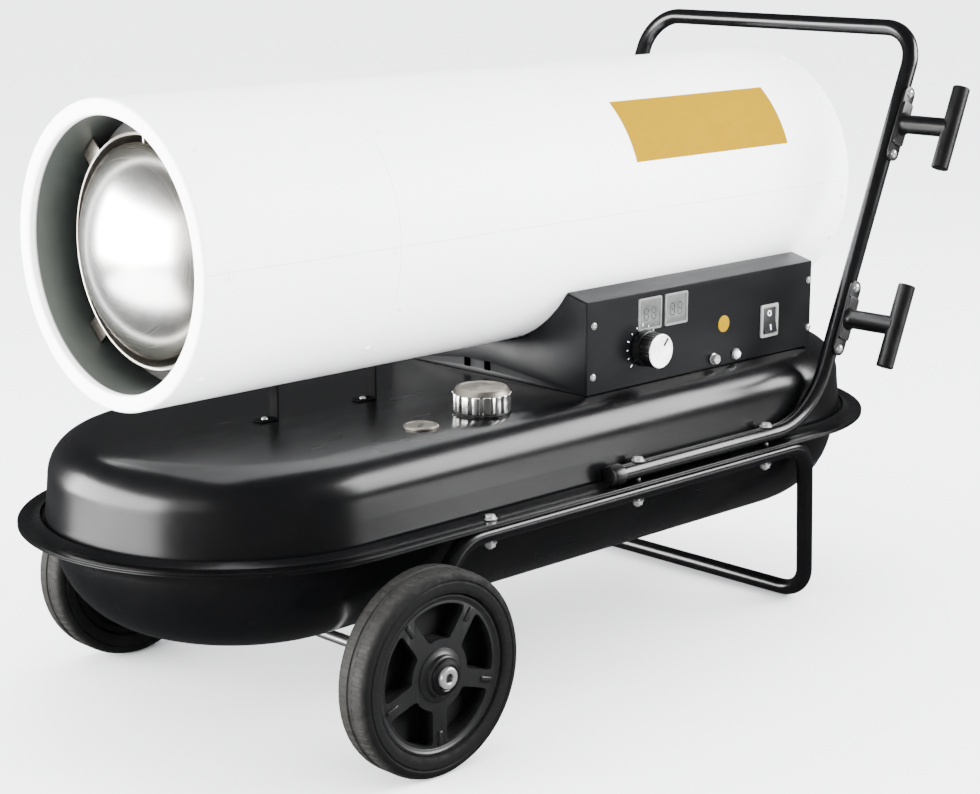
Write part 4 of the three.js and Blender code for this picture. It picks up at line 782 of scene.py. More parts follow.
@dataclass(frozen=True)
class WheelPlastic(Finish):
    """Moulded plastic with painted shade that makes the pockets of a wheel darker than its face."""

    face: Rgb
    # pocket is the colour of the painted shade on the pocket floors
    pocket: Rgb
    depth: Pair
    roughness: float

    def make(self) -> bpy.types.Material:
        """Builds the plastic: painted shade and a duller finish in its pockets, its grain and its handling marks."""
        board = self.board()
        out = board.math("ABSOLUTE", board.along("Y"))
        # painted shade: the pockets darken towards their floors
        pocket_shade_mask = board.spread(out, self.depth[1], self.depth[0])
        dust = board.spread(board.noise(70, 4, 0.6), 0.4, 0.8) * 0.35
        face = board.mix(dust, self.face, tuple(c * 1.9 for c in self.face))
        colour = board.mix(pocket_shade_mask, face, self.pocket)
        rough = self.roughness + pocket_shade_mask * 0.35 + board.noise(40, 3, 0.6) * 0.06
        return board.finish(Base_Color=colour, Roughness=rough,
                            Normal=board.bump(board.noise(700, 2, 0.5), 0.00003, 0.6))


@dataclass(frozen=True)
class Film(Finish):
    """A plain coloured film, dull and slightly worn."""

    colour: Rgb
    worn: Rgb

    def make(self) -> bpy.types.Material:
        """Builds the film: its uneven colour and fine scratches."""
        board = self.board()
        ink = board.spread(board.noise(60, 5, 0.7), 0.35, 0.72)
        streak = board.spread(board.noise(260, 3, 0.6, (0.12, 1, 1)), 0.55, 0.8) * 0.3
        colour = board.mix(ink * 0.35 + streak * 0.4, self.colour, self.worn)
        return board.finish(Base_Color=colour, Roughness=board.spread(ink, 0, 1, 0.45, 0.6),
                            Specular_IOR_Level=0.0, Normal=board.bump(board.noise(500, 2, 0.5), 0.00004, 0.6))


@dataclass(frozen=True)
class Laminate(Finish):
    """Circuit board laminate with etched tracks."""

    colour: Rgb
    track: Rgb

    def make(self) -> bpy.types.Material:
        """Builds the laminate: its tracks and its lacquer."""
        board = self.board()
        tracks = board.spread(board.cells(160), 0.06, 0.03)
        colour = board.mix(tracks * 0.7, self.colour, self.track)
        return board.finish(Base_Color=colour, Roughness=board.spread(tracks, 0, 1, 0.45, 0.3),
                            Normal=board.bump(tracks, 0.00006, 0.6))


@dataclass(frozen=True)
class Backdrop(Finish):
    """The plain pale floor."""

    colour: Rgb

    def make(self) -> bpy.types.Material:
        """Builds the floor with the faintest unevenness."""
        board = self.board()
        cloud = board.spread(board.noise(1.5, 3, 0.5), 0.2, 0.8, 0.58, 0.62)
        return board.finish(Base_Color=self.colour, Roughness=cloud)


WHITE = Coating("casing_white", (0.9, 0.9, 0.895), (0.87, 0.872, 0.868), 0.4, 0.00003, 0.0001, 0.3)
TANK_BLACK = Coating("tank_black", (0.0010, 0.0011, 0.0013), (0.0019, 0.0019, 0.002), 0.25, 0.000012, 0.00004, 0.33)
PANEL_BLACK = Coating("panel_black", (0.0018, 0.002, 0.0025), (0.003, 0.0033, 0.004), 0.38, 0.00002, 0.00004, 0.15)
TUBE_BLACK = Coating("tube_black", (0.001, 0.001, 0.0012), (0.002, 0.002, 0.0022), 0.24, 0.00002)
STRAP_GREY = Coating("strap_grey", (0.002, 0.0021, 0.0023), (0.0035, 0.0037, 0.004), 0.6, 0.00003, 0.0, 0.02)
GUARD_BLACK = Coating("guard_black", (0.008, 0.008, 0.009), (0.013, 0.013, 0.013), 0.42, level=0.4)
MOTOR_GREY = Coating("motor_grey", (0.07, 0.074, 0.08), (0.052, 0.056, 0.06), 0.45)
BLACK_PLASTIC = Moulding("moulded_black", (0.0015, 0.0015, 0.0017), 0.34)
# the second colour is painted shade in the wheel's pockets
WHEEL_PLASTIC = WheelPlastic("wheel_plastic", (0.0045, 0.0045, 0.0046), (0.0006, 0.0006, 0.0006), (254, 262), 0.36)
GREY_PLASTIC = Moulding("moulded_grey", (0.12, 0.122, 0.115), 0.4)
KNOB_WHITE = Moulding("knob_white", (0.86, 0.86, 0.85), 0.28, 0.00002)
DARK_PLASTIC = Moulding("dark_plastic", (0.01, 0.0105, 0.0115), 0.35)
SWITCH_GREY = Moulding("switch_grey", (0.2, 0.2, 0.195), 0.35)
PALE_MARK = Moulding("pale_mark", (0.8, 0.81, 0.81), 0.4, 0.00002)
PANE = Moulding("display_pane", (0.075, 0.078, 0.075), 0.2, 0.00001)
CERAMIC = Moulding("ceramic", (0.72, 0.68, 0.62), 0.25, 0.00003)
HOSE = Moulding("hose_black", (0.008, 0.008, 0.008), 0.6, 0.0001, 1200)
ZINC = Metal("bright_zinc", (0.88, 0.87, 0.85), 0.2, (1, 1, 1), 0.00002, (0.62, 0.58, 0.5), 0.25)
SCREW = Metal("screw_zinc", (0.5, 0.5, 0.49), 0.3, (1, 1, 1), 0.00002, (0.3, 0.28, 0.25), 0.3, 0.85)
DIAL = Metal("dull_dial", (0.24, 0.22, 0.19), 0.42, (1, 1, 1), 0.00003, (0.3, 0.27, 0.22), 0.4)
STEEL = Metal("plain_steel", (0.5, 0.5, 0.5), 0.38, (1, 0.08, 1), 0.00003, (0.3, 0.26, 0.22), 0.3)
CAST = Metal("cast_aluminium", (0.6, 0.61, 0.62), 0.42, (1, 1, 1), 0.00008, (0.4, 0.4, 0.38), 0.3)
SHEET = Metal("aluminium_sheet", (0.7, 0.71, 0.72), 0.34, (0.2, 1, 1), 0.00003, (0.5, 0.5, 0.48), 0.2)
DRUM = SpunSteel("drum_steel", (0.62, 0.6, 0.57), 0.28, 112, 116)
DOME = SpunSteel("dome_steel", (0.9, 0.89, 0.87), 0.2, 70, 106)
AMBER = Film("amber_film", (0.21, 0.122, 0.0001), (0.175, 0.098, 0.0001))
BOARD_GREEN = Laminate("laminate", (0.03, 0.12, 0.05), (0.1, 0.28, 0.1))
FLOOR = Backdrop("pale_floor", (0.86, 0.86, 0.86))


# ------------------------------------------------------------------------------------------- Fitting


class Fitter:
    """Seats finished pieces in the frame and keeps count of them."""

    def __init__(self, frame: dict[str, Any]) -> None:
        """Takes the loaded frame."""
        self.nodes: dict[str, bpy.types.Object] = frame["nodes"]
        self.dressed: set[str] = set()

    def fit(self, obj: bpy.types.Object, name: str, finish: Finish, slot: str, body: str = BODY,
            replaces: Sequence[str] = (), angle: float = 32) -> bpy.types.Object:
        """Finishes a piece and makes it ride on its body.

        Args:
            obj: The piece, in the heater's millimetres.
            name: Its name.
            finish: Its finish.
            slot: The record's slot that the finish belongs to; not used.
            body: The body that it rides on.
            replaces: The CAD nodes that it stands for.
            angle: The sharpest edge that still shades smoothly, in degrees.

        Returns:
            The piece, in the frame.
        """
        Bench.moved(obj, Matrix.Scale(MM, 4) @ Matrix.Translation(DATUM))
        Bench.only(obj)
        bpy.ops.object.shade_smooth_by_angle(angle=math.radians(angle))
        obj.name = obj.data.name = name
        obj.data.materials.clear()
        obj.data.materials.append(finish.material())
        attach(obj, body)
        if replaces:
            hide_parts(*replaces)
            self.dressed.update(replaces)
        log.info("%s rides on %s in %s", name, body, finish.name)
        return obj

    def carry(self, node: str, finish: Finish) -> None:
        """Gives a CAD node that stays visible its finish."""
        self.nodes[node].data.materials.clear()
        self.nodes[node].data.materials.append(finish.material())
        self.dressed.add(node)
        log.info("%s stays, in %s", node, finish.name)

    def check(self) -> None:
        """Warns of any CAD node without a finish of its own."""
        for node in sorted(set(self.nodes) - self.dressed):
            log.warning("%s has no finish", node)


# ------------------------------------------------------------------------------------------ Fasteners


@dataclass
class Fastener:
    """A hexagon bolt, a pan head screw and the like."""

    radius: float = 5.8
    height: float = 4.0
    flange: float = 7.2

    def head(self, top: bool = True) -> bpy.types.Object:
        """Returns a flanged hexagon head that stands on z = 0, or hangs below it."""
        hexagon = Bench.beveled(Bench.plate(circle((0, 0), self.radius, 6), 0.4, self.height), 0.5, 2, 20)
        collar = Bench.turned([(0, 0), (self.flange, 0), (self.flange, 0.7), (self.radius, 1.4), (0, 1.4)], steps=32)
        head = Bench.joined(hexagon, collar)
        return head if top else Bench.turned_by(head, 180, Axis.X)

    @staticmethod
    def screw(radius: float = 4.2, height: float = 2.2) -> bpy.types.Object:
        """Returns a cross-recessed pan head that stands on z = 0."""
        dome = [(radius * math.cos(a), height * math.sin(a)) for a in (math.radians(15 * i) for i in range(7))]
        head = Bench.turned([(0, -0.6), (radius, -0.6), *dome[:-1], (0, height)], steps=28)
        slot = radius * 0.17
        reach = radius * 0.62
        tools = [Bench.block((-reach, -slot, height - 1.1), (reach, slot, height + 1)),
                 Bench.block((-slot, -reach, height - 1.1), (slot, reach, height + 1))]
        return Bench.cut(head, *tools)


# ---------------------------------------------------------------------------------------------- Tank


@dataclass
class Tank:
    """The flanged fuel tank with its cap, gauge, float and pickup."""

    length: float = 1073
    half_width: float = 197
    overhang: float = 45
    joint_z: float = 220
    upper_depth: float = 87.5
    lower_depth: float = 108
    wall: float = 1.6
    shoulder: float = 42
    belly: float = 98
    upper_draft: float = 4
    lower_draft: float = 7
    flange: float = 27.5
    flange_sheet: float = 2
    filler: Pair = (371, -127)
    gauge: Pair = (281, -131)
    neck_height: float = 23
    cap_radius: float = 31

    def pan_profile(self, depth: float, draft: float, corner: float) -> list[Pair]:
        """Returns the chain of insets and heights above the joint, from the outer middle to the inner one."""
        middle = self.half_width
        outer = [(draft + corner - u, depth - corner + v) for u, v in arc((0, 0), corner, 90, 0, 14)]
        inner_corner = corner - self.wall
        inner = [(draft + corner - u, depth - corner + v) for u, v in arc((0, 0), inner_corner, 0, 90, 10)]
        sheet, edge = self.flange_sheet, -self.flange
        root = [(-v, sheet + 5 - u) for u, v in arc((0, 0), 5, 0, 90, 5)]
        track = [(-11, sheet), (-12.2, sheet - 0.5), (-16.8, sheet - 0.5), (-18, sheet)]
        rim = [(edge + 0.6, sheet), (edge, sheet - 0.6), (edge, 0.5), (edge + 0.5, 0)]
        return [(middle, depth), *outer, *root, *track, *rim, (self.wall, 0), *inner, (middle, depth - self.wall)]

    def pan(self, depth: float, draft: float, corner: float) -> bpy.types.Object:
        """Returns a pan that stands on the joint plane."""
        front = -self.overhang + self.half_width
        rear = self.length - self.overhang - self.half_width
        return Bench.racetrack(self.pan_profile(depth, draft, corner), self.half_width, front, rear)

    def pans(self, fitter: Fitter) -> None:
        """Presses both pans."""
        upper = Bench.at(self.pan(self.upper_depth, self.upper_draft, self.shoulder), z=self.joint_z + GAP / 2)
        neck = Bench.turned([(22, -3), (25, -3), (25, 2.2), (28, 0.3), (29, -0.6), (31, -0.6), (31, 0.4), (26, 3.4),
                             (25, 4), (25, self.neck_height), (22, self.neck_height)], steps=48)
        Bench.at(neck, *self.filler, TANK_TOP)
        fitter.fit(Bench.joined(upper, neck), "tank_upper", TANK_BLACK, "black_enamel", replaces=["tank_upper_pan"],
                   angle=40)
        lower = self.pan(self.lower_depth, self.lower_draft, self.belly)
        Bench.turned_by(lower, 180, Axis.X)
        fitter.fit(Bench.at(lower, z=self.joint_z - GAP / 2), "tank_lower", TANK_BLACK, "black_enamel",
                   replaces=["tank_lower_pan"], angle=40)

    def cap(self, fitter: Fitter) -> None:
        """Turns the fluted filler cap."""
        low, high = 3.0, self.neck_height + GAP + 4.5
        lobes, dip = 16, 2.8
        outline = fluted(lobes * 10, lambda a: self.cap_radius - max(0.0, math.cos(lobes * a)) ** 2 * dip)
        skirt = Bench.plate(outline, low, 21.6, soft=1.0, segments=3, holes=[circle((0, 0), 26.2, 48)])
        lid = Bench.turned([(0, self.neck_height + 0.4), (26.9, self.neck_height + 0.4), (27.4, 20.4), (29.6, 20.6),
                            (30.2, 21.6), (29.2, 23.2), (27, high - 0.9), (25.4, high), (23.8, high),
                            (22.6, high - 1.1), (6, high - 1.5), (4.5, high - 0.7), (0, high - 0.5)], steps=64)
        fitter.fit(Bench.at(skirt, *self.filler, TANK_TOP), "filler_cap", ZINC, "zinc", "cap", ["fuel_cap"])
        fitter.fit(Bench.at(lid, *self.filler, TANK_TOP), "filler_lid", DIAL, "zinc", "cap")
        seal = Bench.turned([(25.4, 0.5), (29.4, 0.5), (29.4, 1.6), (28.8, 2.4), (25.4, 2.6)], steps=48)
        fitter.fit(Bench.at(seal, *self.filler, TANK_TOP), "filler_seal", HOSE, "hose_rubber")

    def dial(self, fitter: Fitter) -> None:
        """Makes the gauge with its plain dial."""
        body = Bench.turned([(0, -8), (12, -8), (12, GAP), (18.2, GAP), (18.2, 1.6), (17.6, 2.4), (16.4, 2.9),
                             (15.2, 2.7), (14.6, 2.1), (0, 2.0)], steps=48)
        stem = Bench.turned([(0, -23.5), (3.5, -23.5), (3.5, -7), (0, -7)], steps=16)
        pin = Bench.at(Bench.turned([(0, 0), (1.5, 0), (1.5, 9.1), (0, 9.1)], Axis.Y, 16), z=-20)
        fitter.fit(Bench.at(Bench.joined(body, stem, pin), *self.gauge, TANK_TOP), "gauge_body", DIAL, "zinc",
                   replaces=["fuel_gauge"])
        needle = Bench.plate(softened([(-7.5, -2.4), (9, -0.4), (9, 0.4), (-7.5, 2.4)], 0.5), 2.05, 2.5, soft=0.15)
        hub = Bench.turned([(0, 2.0), (2.6, 2.0), (2.4, 2.8), (0, 2.9)], steps=24)
        Bench.turned_by(Bench.joined(needle, hub), 35, Axis.Z)
        fitter.fit(Bench.at(needle, *self.gauge, TANK_TOP), "gauge_needle", DARK_PLASTIC, "black_plastic")

    def build(self, fitter: Fitter) -> None:
        """Builds the tank and its fittings."""
        self.pans(fitter)
        self.cap(fitter)
        self.dial(fitter)
        fitter.carry("fuel_float", BLACK_PLASTIC)
        fitter.carry("fuel_pickup", ZINC)


# --------------------------------------------------------------------------------------------- Frame


@dataclass
class TubeFrame:
    """The bent handle, the bent stand, their bolts, plugs and cord hooks."""

    radius: float = 9.5
    rail_y: float = 207.5
    handle_z: float = 231.95
    stand_z: float = 208.05
    handle_front: float = 496
    handle_foot: float = 825
    handle_top: float = 677
    lean: float = 22.7
    axle: Pair = (181, 103.5)
    hooks: dict[str, float] = field(default_factory=lambda: {"upper": 570, "lower": 351})
    bolts: dict[str, Pair] = field(default_factory=lambda: {"front": (304, 222.45), "middle": (526, 241.75),
                                                            "rear": (744, 241.75)})
    nut_z: float = 198.25

    def leg_x(self, z: float) -> float:
        """Returns the x of the handle's leg at a height."""
        return self.handle_foot + (z - self.handle_z) * math.tan(math.radians(self.lean))

    @staticmethod
    def both_sides(corners: list[Triple], bends: list[float]) -> list[Vector]:
        """Returns the line of a tube whose right half mirrors its left one."""
        right = [(x, -y, z) for x, y, z in reversed(corners)]
        return bent_line(corners + right, bends + bends[::-1])

    def tubes(self, fitter: Fitter) -> None:
        """Bends the handle and the stand."""
        y = -self.rail_y
        handle = Bench.tube(self.both_sides(
            [(self.handle_front, y, self.handle_z), (self.handle_foot, y, self.handle_z),
             (self.leg_x(self.handle_top), y, self.handle_top)], [0, 100, 45]), self.radius)
        fitter.fit(handle, "handle", TUBE_BLACK, "black_tube", replaces=["handle_tube"])
        stand = Bench.tube(self.both_sides(
            [(self.axle[0], y, self.axle[1]), (268, y, self.stand_z), (818, y, self.stand_z),
             (865, -178, self.radius)], [0, 45, 40, 40]), self.radius)
        lug = [(6.3, -10), (12.2, -10), (13, -9.2), (13, 9.2), (12.2, 10), (6.3, 10)]
        lugs = [Bench.at(Bench.turned(lug, Axis.Y, 32), self.axle[0], side * self.rail_y, self.axle[1])
                for side, _ in SIDES]
        welds = []
        for side, _ in SIDES:
            line = [Vector((self.axle[0], side * self.rail_y, self.axle[1])),
                    Vector((268, side * self.rail_y, self.stand_z))]
            heading = (line[1] - line[0]).normalized()
            bead = Bench.turned([(r, h) for r, h in arc((10.2, 0), 2.2, 0, 330, 11)], steps=32)
            matrix = Matrix.Translation(line[0] + heading * 12.5) @ heading.to_track_quat("Z", "Y").to_matrix().to_4x4()
            welds.append(Bench.moved(bead, matrix))
        fitter.fit(Bench.joined(stand, *lugs, *welds), "stand", TUBE_BLACK, "black_tube", replaces=["stand_frame"])

    def plugs(self, fitter: Fitter) -> None:
        """Pushes a soft plug into each open end of the handle."""
        for side, name in SIDES:
            plug = Bench.turned([(0, -16), (8.6, -16), (10.8, -15.2), (12, -13), (12, -GAP), (6.2, -GAP), (6, 13),
                                 (5, 14), (0, 14)], Axis.X, 40)
            near, far = sorted((-side * 10.2, -side * 30))
            tank = Bench.block((-30, near, -30), (30, far, 30))
            Bench.cut(plug, Bench.block((-30, -30, -30), (30, 30, -self.radius)), tank)
            Bench.at(plug, self.handle_front, side * self.rail_y, self.handle_z)
            fitter.fit(plug, f"plug_{name}", BLACK_PLASTIC, "black_plastic", replaces=[f"handle_plug_{name}"])

    def hook(self) -> bpy.types.Object:
        """Returns a cord hook about its leg's centre line, with its bar along z."""
        seat = -(self.radius + GAP)
        plate = Bench.plate(rectangle((-45, -10), (45, 10), 9.6, 8), seat - 3.2, seat, Axis.Y, soft=0.5)
        block = Bench.plate(rectangle((-26, -9.4), (26, 9.4), 4, 5), seat - 6, seat - 0.5, Axis.Y, soft=0.9)
        flare = [(0, -79), (11, -79), (11, -24), (11.3, -21), (12, -18.6), (13.6, -16.4), (14, -15.8), (0, -15.8)]
        stem = Bench.turned(flare, Axis.Y, 40)
        bar = Bench.turned([(0, -49), (9, -49), (10, -48), (10, 48), (9, 49), (0, 49)], Axis.Z, 40)
        Bench.at(bar, y=-80)
        return Bench.joined(plate, block, stem, bar)

    def hooks_on_leg(self, fitter: Fitter) -> None:
        """Fixes both cord hooks to the left leg with bright screws."""
        lean = Matrix.Rotation(math.radians(self.lean), 4, "Y")
        for name, z in self.hooks.items():
            seat = Matrix.Translation((self.leg_x(z), -self.rail_y, z)) @ lean
            hook = Bench.moved(self.hook(), seat)
            fitter.fit(hook, f"hook_{name}", BLACK_PLASTIC, "black_plastic", replaces=[f"cord_hook_{name}"])
            for place, s in (("top", 37), ("bottom", -37)):
                screw = Bench.turned_by(Fastener.screw(5.2, 3.2), 90, Axis.X)
                Bench.moved(Bench.at(screw, y=-(self.radius + GAP + 3.2), z=s), seat)
                fitter.fit(screw, f"hook_{name}_screw_{place}", SCREW, "zinc")

    def bolt_rows(self, fitter: Fitter) -> None:
        """Drives the bolts through the rails and the flange."""
        for place, (x, head_z) in self.bolts.items():
            for side, name in SIDES:
                head = Bench.at(Fastener().head(), z=head_z)
                nut = Bench.at(Fastener(height=5).head(top=False), z=self.nut_z)
                tip = [(0, self.nut_z - 7), (2.4, self.nut_z - 7), (3, self.nut_z - 6.4), (3, head_z + 1),
                       (0, head_z + 1)]
                bolt = Bench.joined(head, nut, Bench.turned(tip, steps=20))
                fitter.fit(Bench.at(bolt, x, side * self.rail_y), f"bolt_{place}_{name}", SCREW, "zinc",
                           replaces=[f"{place}_bolt_{name}"])

    def build(self, fitter: Fitter) -> None:
        """Builds the frame's tubes and what is fixed to them."""
        self.tubes(fitter)
        self.plugs(fitter)
        self.hooks_on_leg(fitter)
        self.bolt_rows(fitter)


# --------------------------------------------------------------------------------------------- Wheels


@dataclass
class Wheels:
    """Both wheels on their axle."""

    axle: Pair = (181, 103.5)
    centre_y: float = 249.8
    radius: float = 103.5
    bore: float = 80
    width: float = 40
    rim_width: float = 32
    spoke: float = 18
    face: float = 14
    pocket_depth: float = 19
    web: float = 4
    pocket: Pair = (36, 71)
    spokes: int = 5

    def tyre(self) -> bpy.types.Object:
        """Returns the tyre about its own middle, with shallow dents pressed into its tread."""
        half, r = self.width / 2, self.radius
        side = [(self.bore, self.rim_width / 2), (self.bore + 1.5, half - 1.5), (self.bore + 4, half - 0.4),
                (self.bore + 6.5, half), (r - 12, half), (r - 11, half - 0.8), (r - 9.6, half - 0.8), (r - 8.8, half),
                (r - 7, half - 0.2), (r - 3.4, half - 1.6), (r - 1, half - 4.4), (r - 0.2, half - 7.4)]
        tread = [(r, half - 9.5), (r, 3.4), (r - 1.4, 2.6), (r - 1.4, -2.6), (r, -3.4), (r, -half + 9.5)]
        profile = side + tread + [(a, -b) for a, b in reversed(side)]
        tyre = Bench.turned(profile, Axis.Y, 144)
        low, high, pitch = r - 1.9, r + 0.6, 2.5

        def dent(centre: Vector) -> bool:
            """Says whether a face is one of the tread's dents."""
            spot = math.hypot(centre.x, centre.z)
            step = int((math.degrees(math.atan2(centre.z, centre.x)) + 360) / pitch) + (1 if centre.y > 0 else 0)
            return low < spot < high and 3.6 < abs(centre.y) < half - 4 and step % 2 == 0

        Bench.pick_faces(tyre, dent)
        bpy.ops.mesh.inset(thickness=0.3, depth=-0.35, use_individual=False)
        Bench.done()
        return tyre

    def hub(self) -> bpy.types.Object:
        """Returns the moulded wheel about its own middle, with its outer face towards +y."""
        rim_out = self.bore - 0.7
        rim = Bench.turned([(72.6, -16), (rim_out, -16), (rim_out, 16), (77.4, 16), (76.6, 15.2), (75.2, 14.4),
                            (73.6, 14.2), (72.6, 13.4)], Axis.Y, 120)
        floor = self.face - self.pocket_depth
        disc = Bench.plate(circle((0, 0), 75, 120), floor - self.web, self.face, Axis.Y, soft=0.9)
        half = math.pi / self.spokes
        for i in range(self.spokes):
            middle = math.pi * 2 * i / self.spokes
            edges = []
            for r, sign in ((self.pocket[1], 1), (self.pocket[0], -1)):
                lean = math.asin((self.spoke / 2) / r)
                edges += [(r, middle + sign * (half - lean) * t) for t in (-1, -0.6, -0.2, 0.2, 0.6, 1)]
            corners = [(r * math.cos(a), r * math.sin(a)) for r, a in edges]
            tool = Bench.plate(softened(corners, 6, 4), floor, self.face + 4, Axis.Y)
            Bench.cut(disc, tool)
        Bench.beveled(disc, 1.3, 3, 40)
        boss = Bench.turned([(6.3, -32), (19, -32), (20, -31), (20, -10.5), (24, -9.5), (24, -3), (26.5, 13),
                             (27, 14.6), (26.2, 15.6), (22.8, 16.4), (21.4, 17.4), (20.4, 21.2), (19.4, 22),
                             (15.4, 22), (14.6, 21), (14.6, 19), (6.3, 19)], Axis.Y, 64)
        ribs = []
        for i in range(self.spokes):
            rib = Bench.block((-2.6, self.face - 1, 57), (2.6, 15.9, 72), 1.2, 3)
            ribs.append(Bench.turned_by(rib, 360 * (i + 0.5) / self.spokes, Axis.Y))
        return Bench.joined(disc, rim, boss, *ribs)

    def nut(self) -> bpy.types.Object:
        """Returns the round axle nut about the wheel's middle."""
        return Bench.turned([(6.3, 22.4), (9.4, 22.4), (10.6, 23), (10.9, 24), (10.9, 26.6), (10.3, 27.9), (9.2, 28.5),
                             (5.8, 28.5), (4.8, 27.9), (4.8, 26.8), (6.3, 26.2)], Axis.Y, 64)

    def washer(self) -> bpy.types.Object:
        """Returns the black cup washer under the nut."""
        return Bench.turned([(6.5, 19.4), (14.2, 19.4), (14.2, 22.2), (17.4, 22.4), (18, 23.2), (17.2, 24.4),
                             (13.4, 25.2), (12.6, 24.6), (12.6, 23), (9.4, 22.1), (6.5, 22.1)], Axis.Y, 64)

    def build(self, fitter: Fitter) -> None:
        """Builds the axle and both wheels."""
        reach = self.centre_y + 23.6
        axle = Bench.turned([(0, -reach), (5.2, -reach), (6, -reach + 0.8), (6, reach - 0.8), (5.2, reach), (0, reach)],
                            Axis.Y, 40)
        fitter.fit(Bench.at(axle, self.axle[0], 0, self.axle[1]), "axle_bar", STEEL, "steel", replaces=["axle"])
        rubber = Rubber("tyre_tread", (0.002, 0.002, 0.0019), (0.012, 0.0112, 0.0095), self.axle, self.radius)
        for side, name in SIDES:
            body = f"{name}_wheel"
            for piece, label, finish, slot, owner, node in (
                    (self.tyre(), "tyre", rubber, "tyre_rubber", body, "tyre"),
                    (self.hub(), "hub", WHEEL_PLASTIC, "black_plastic", body, "wheel_hub"),
                    (self.washer(), "washer", BLACK_PLASTIC, "black_plastic", body, ""),
                    (self.nut(), "nut", SCREW, "zinc", BODY, "axle_nut")):
                if side < 0:
                    Bench.turned_by(piece, 180, Axis.Z)
                Bench.at(piece, self.axle[0], side * self.centre_y, self.axle[1])
                fitter.fit(piece, f"{label}_{name}", finish, slot, owner, [f"{node}_{name}"] if node else [])


# --------------------------------------------------------------------------------------------- Casing


@dataclass
class Casing:
    """The round casing with its outlet ring, supports, film, screws and rear guard."""

    radius: float = 150
    sheet: float = 1.5
    length: float = 963
    seam: float = 240
    lip: float = 3
    outlet: float = 133.5
    liner: float = 70
    lift: float = 41
    supports: dict[str, float] = field(default_factory=lambda: {"front": 198.5, "rear": 332})
    film_x: Pair = (592, 854)
    film_angle: Pair = (131, 160)

    def shell(self, low: float, high: float, upper: bool, hem: bool) -> bpy.types.Object:
        """Returns half of a section of the casing.

        Args:
            low: Where it starts along x.
            high: Where it ends.
            upper: Whether it is the upper half.
            hem: Whether its rear edge is folded in.

        Returns:
            The shape, about the casing's axis.
        """
        r, inner = self.radius, self.radius - self.sheet
        rear = [(r, high - 1.6), (r - 0.5, high - 0.5), (r - 1.6, high), (r - 3.4, high), (r - 4, high - 0.8),
                (r - 4, high - 9), (inner - 0.2, high - 9.4), (inner - 0.2, high - 12)] if hem else [
                    (r, high - 0.3), (r - 0.3, high)]
        profile = [(inner, low), (r - 0.3, low), (r, low + 0.3), *rear, (inner, high - 12.5 if hem else high)]
        split = math.degrees(math.asin(GAP / 2 / r))
        return Bench.turned(profile, Axis.X, 64, split if upper else 180 + split, 180 - 2 * split)

    def sections(self, fitter: Fitter) -> None:
        """Rolls the four quarters of the casing."""
        front = self.lip + GAP
        for name, low, high, hem in (("front", front, self.seam - GAP / 2, False),
                                     ("rear", self.seam + GAP / 2, self.length, True)):
            for half in ("upper", "lower"):
                shell = Bench.on_air_line(self.shell(low, high, half == "upper", hem))
                fitter.fit(shell, f"shell_{name}_{half}", WHITE, "white_enamel", replaces=[f"casing_{name}_{half}"])

    def outlet_lip(self, fitter: Fitter) -> None:
        """Rolls the outlet's lip with its liner and collar."""
        outside, inside = self.radius, self.outlet
        nose = [(inside, self.lip + 5), *[(inside + 4.2 - 4.2 * math.cos(a), self.lip - (self.lip - 0.3) * math.sin(a))
                                          for a in (math.pi / 16 * i for i in range(9))],
                (inside + 8.2, 0), *[(outside - 3.4 + 3.4 * math.sin(a), self.lip - self.lip * math.cos(a))
                                     for a in (math.pi / 16 * i for i in range(9))]]
        collar = self.radius - self.sheet - 0.9
        profile = [(self.outlet, self.liner), *nose, (collar, self.lip + 0.1), (collar, 30), (collar - 1.5, 30),
                   (collar - 1.5, self.lip + 1.6), (self.outlet + 1.5, self.lip + 1.6), (self.outlet + 1.5, self.liner)]
        ring = Bench.on_air_line(Bench.turned(profile, Axis.X, 128))
        paint = OutletPaint("outlet_paint", WHITE, (0.035, 0.043, 0.039), self.outlet)
        fitter.fit(ring, "outlet_lip", paint, "white_enamel", replaces=["outlet_ring"])

    def brackets(self, fitter: Fitter) -> None:
        """Bends the two strips that carry the casing."""
        top = self.lift - GAP
        for name, x in self.supports.items():
            outline = [(-24, GAP), (0, GAP), (0, top - 2), (22, top - 2), (22, top), (-2, top), (-2, GAP + 2),
                       (-24, GAP + 2)]
            strip = Bench.plate([(v, u) for u, v in outline], -7, 7, Axis.Y)
            Bench.at(Bench.beveled(strip, 0.8, 3), x, 0, TANK_TOP)
            fitter.fit(strip, f"bracket_{name}", STRAP_GREY, "black_tube", replaces=[f"casing_support_{name}"])
            screw = Bench.at(Fastener.screw(3.6, 2), x - 14, 0, TANK_TOP + GAP + 2)
            fitter.fit(screw, f"bracket_{name}_screw", SCREW, "zinc")

    def film(self, fitter: Fitter) -> None:
        """Lays the plain amber film on the left side."""
        low, high = self.film_x
        start, end = self.film_angle
        r = self.radius
        profile = [(r + 0.02, low), (r + 0.22, low + 0.2), (r + 0.22, high - 0.2), (r + 0.02, high)]
        film = Bench.turned(profile, Axis.X, 24, start, end - start)
        fitter.fit(Bench.on_air_line(film), "amber_label", AMBER, "white_enamel")

    def screws(self, fitter: Fitter) -> None:
        """Drives the casing's small screws on both sides."""
        spots = [(27, 181.5), (232, 181.5), (251, 135), (251, 205), (27, 135), (27, 225), (952, 111.4), (952, 147.8),
                 (952, 187.1), (952, 207.7), (232, 225)]
        heads = []
        for x, angle in spots + [(x, 180 - angle) for x, angle in spots]:
            screw = Bench.turned_by(Fastener.screw(3.4, 1.7), 90, Axis.Y)
            Bench.turned_by(Bench.at(screw, x=self.radius), 90, Axis.Z)
            heads.append(Bench.at(Bench.turned_by(screw, angle, Axis.X), x, 0, AXIS_Z))
        fitter.fit(Bench.joined(*heads), "casing_screws", WHITE, "zinc")

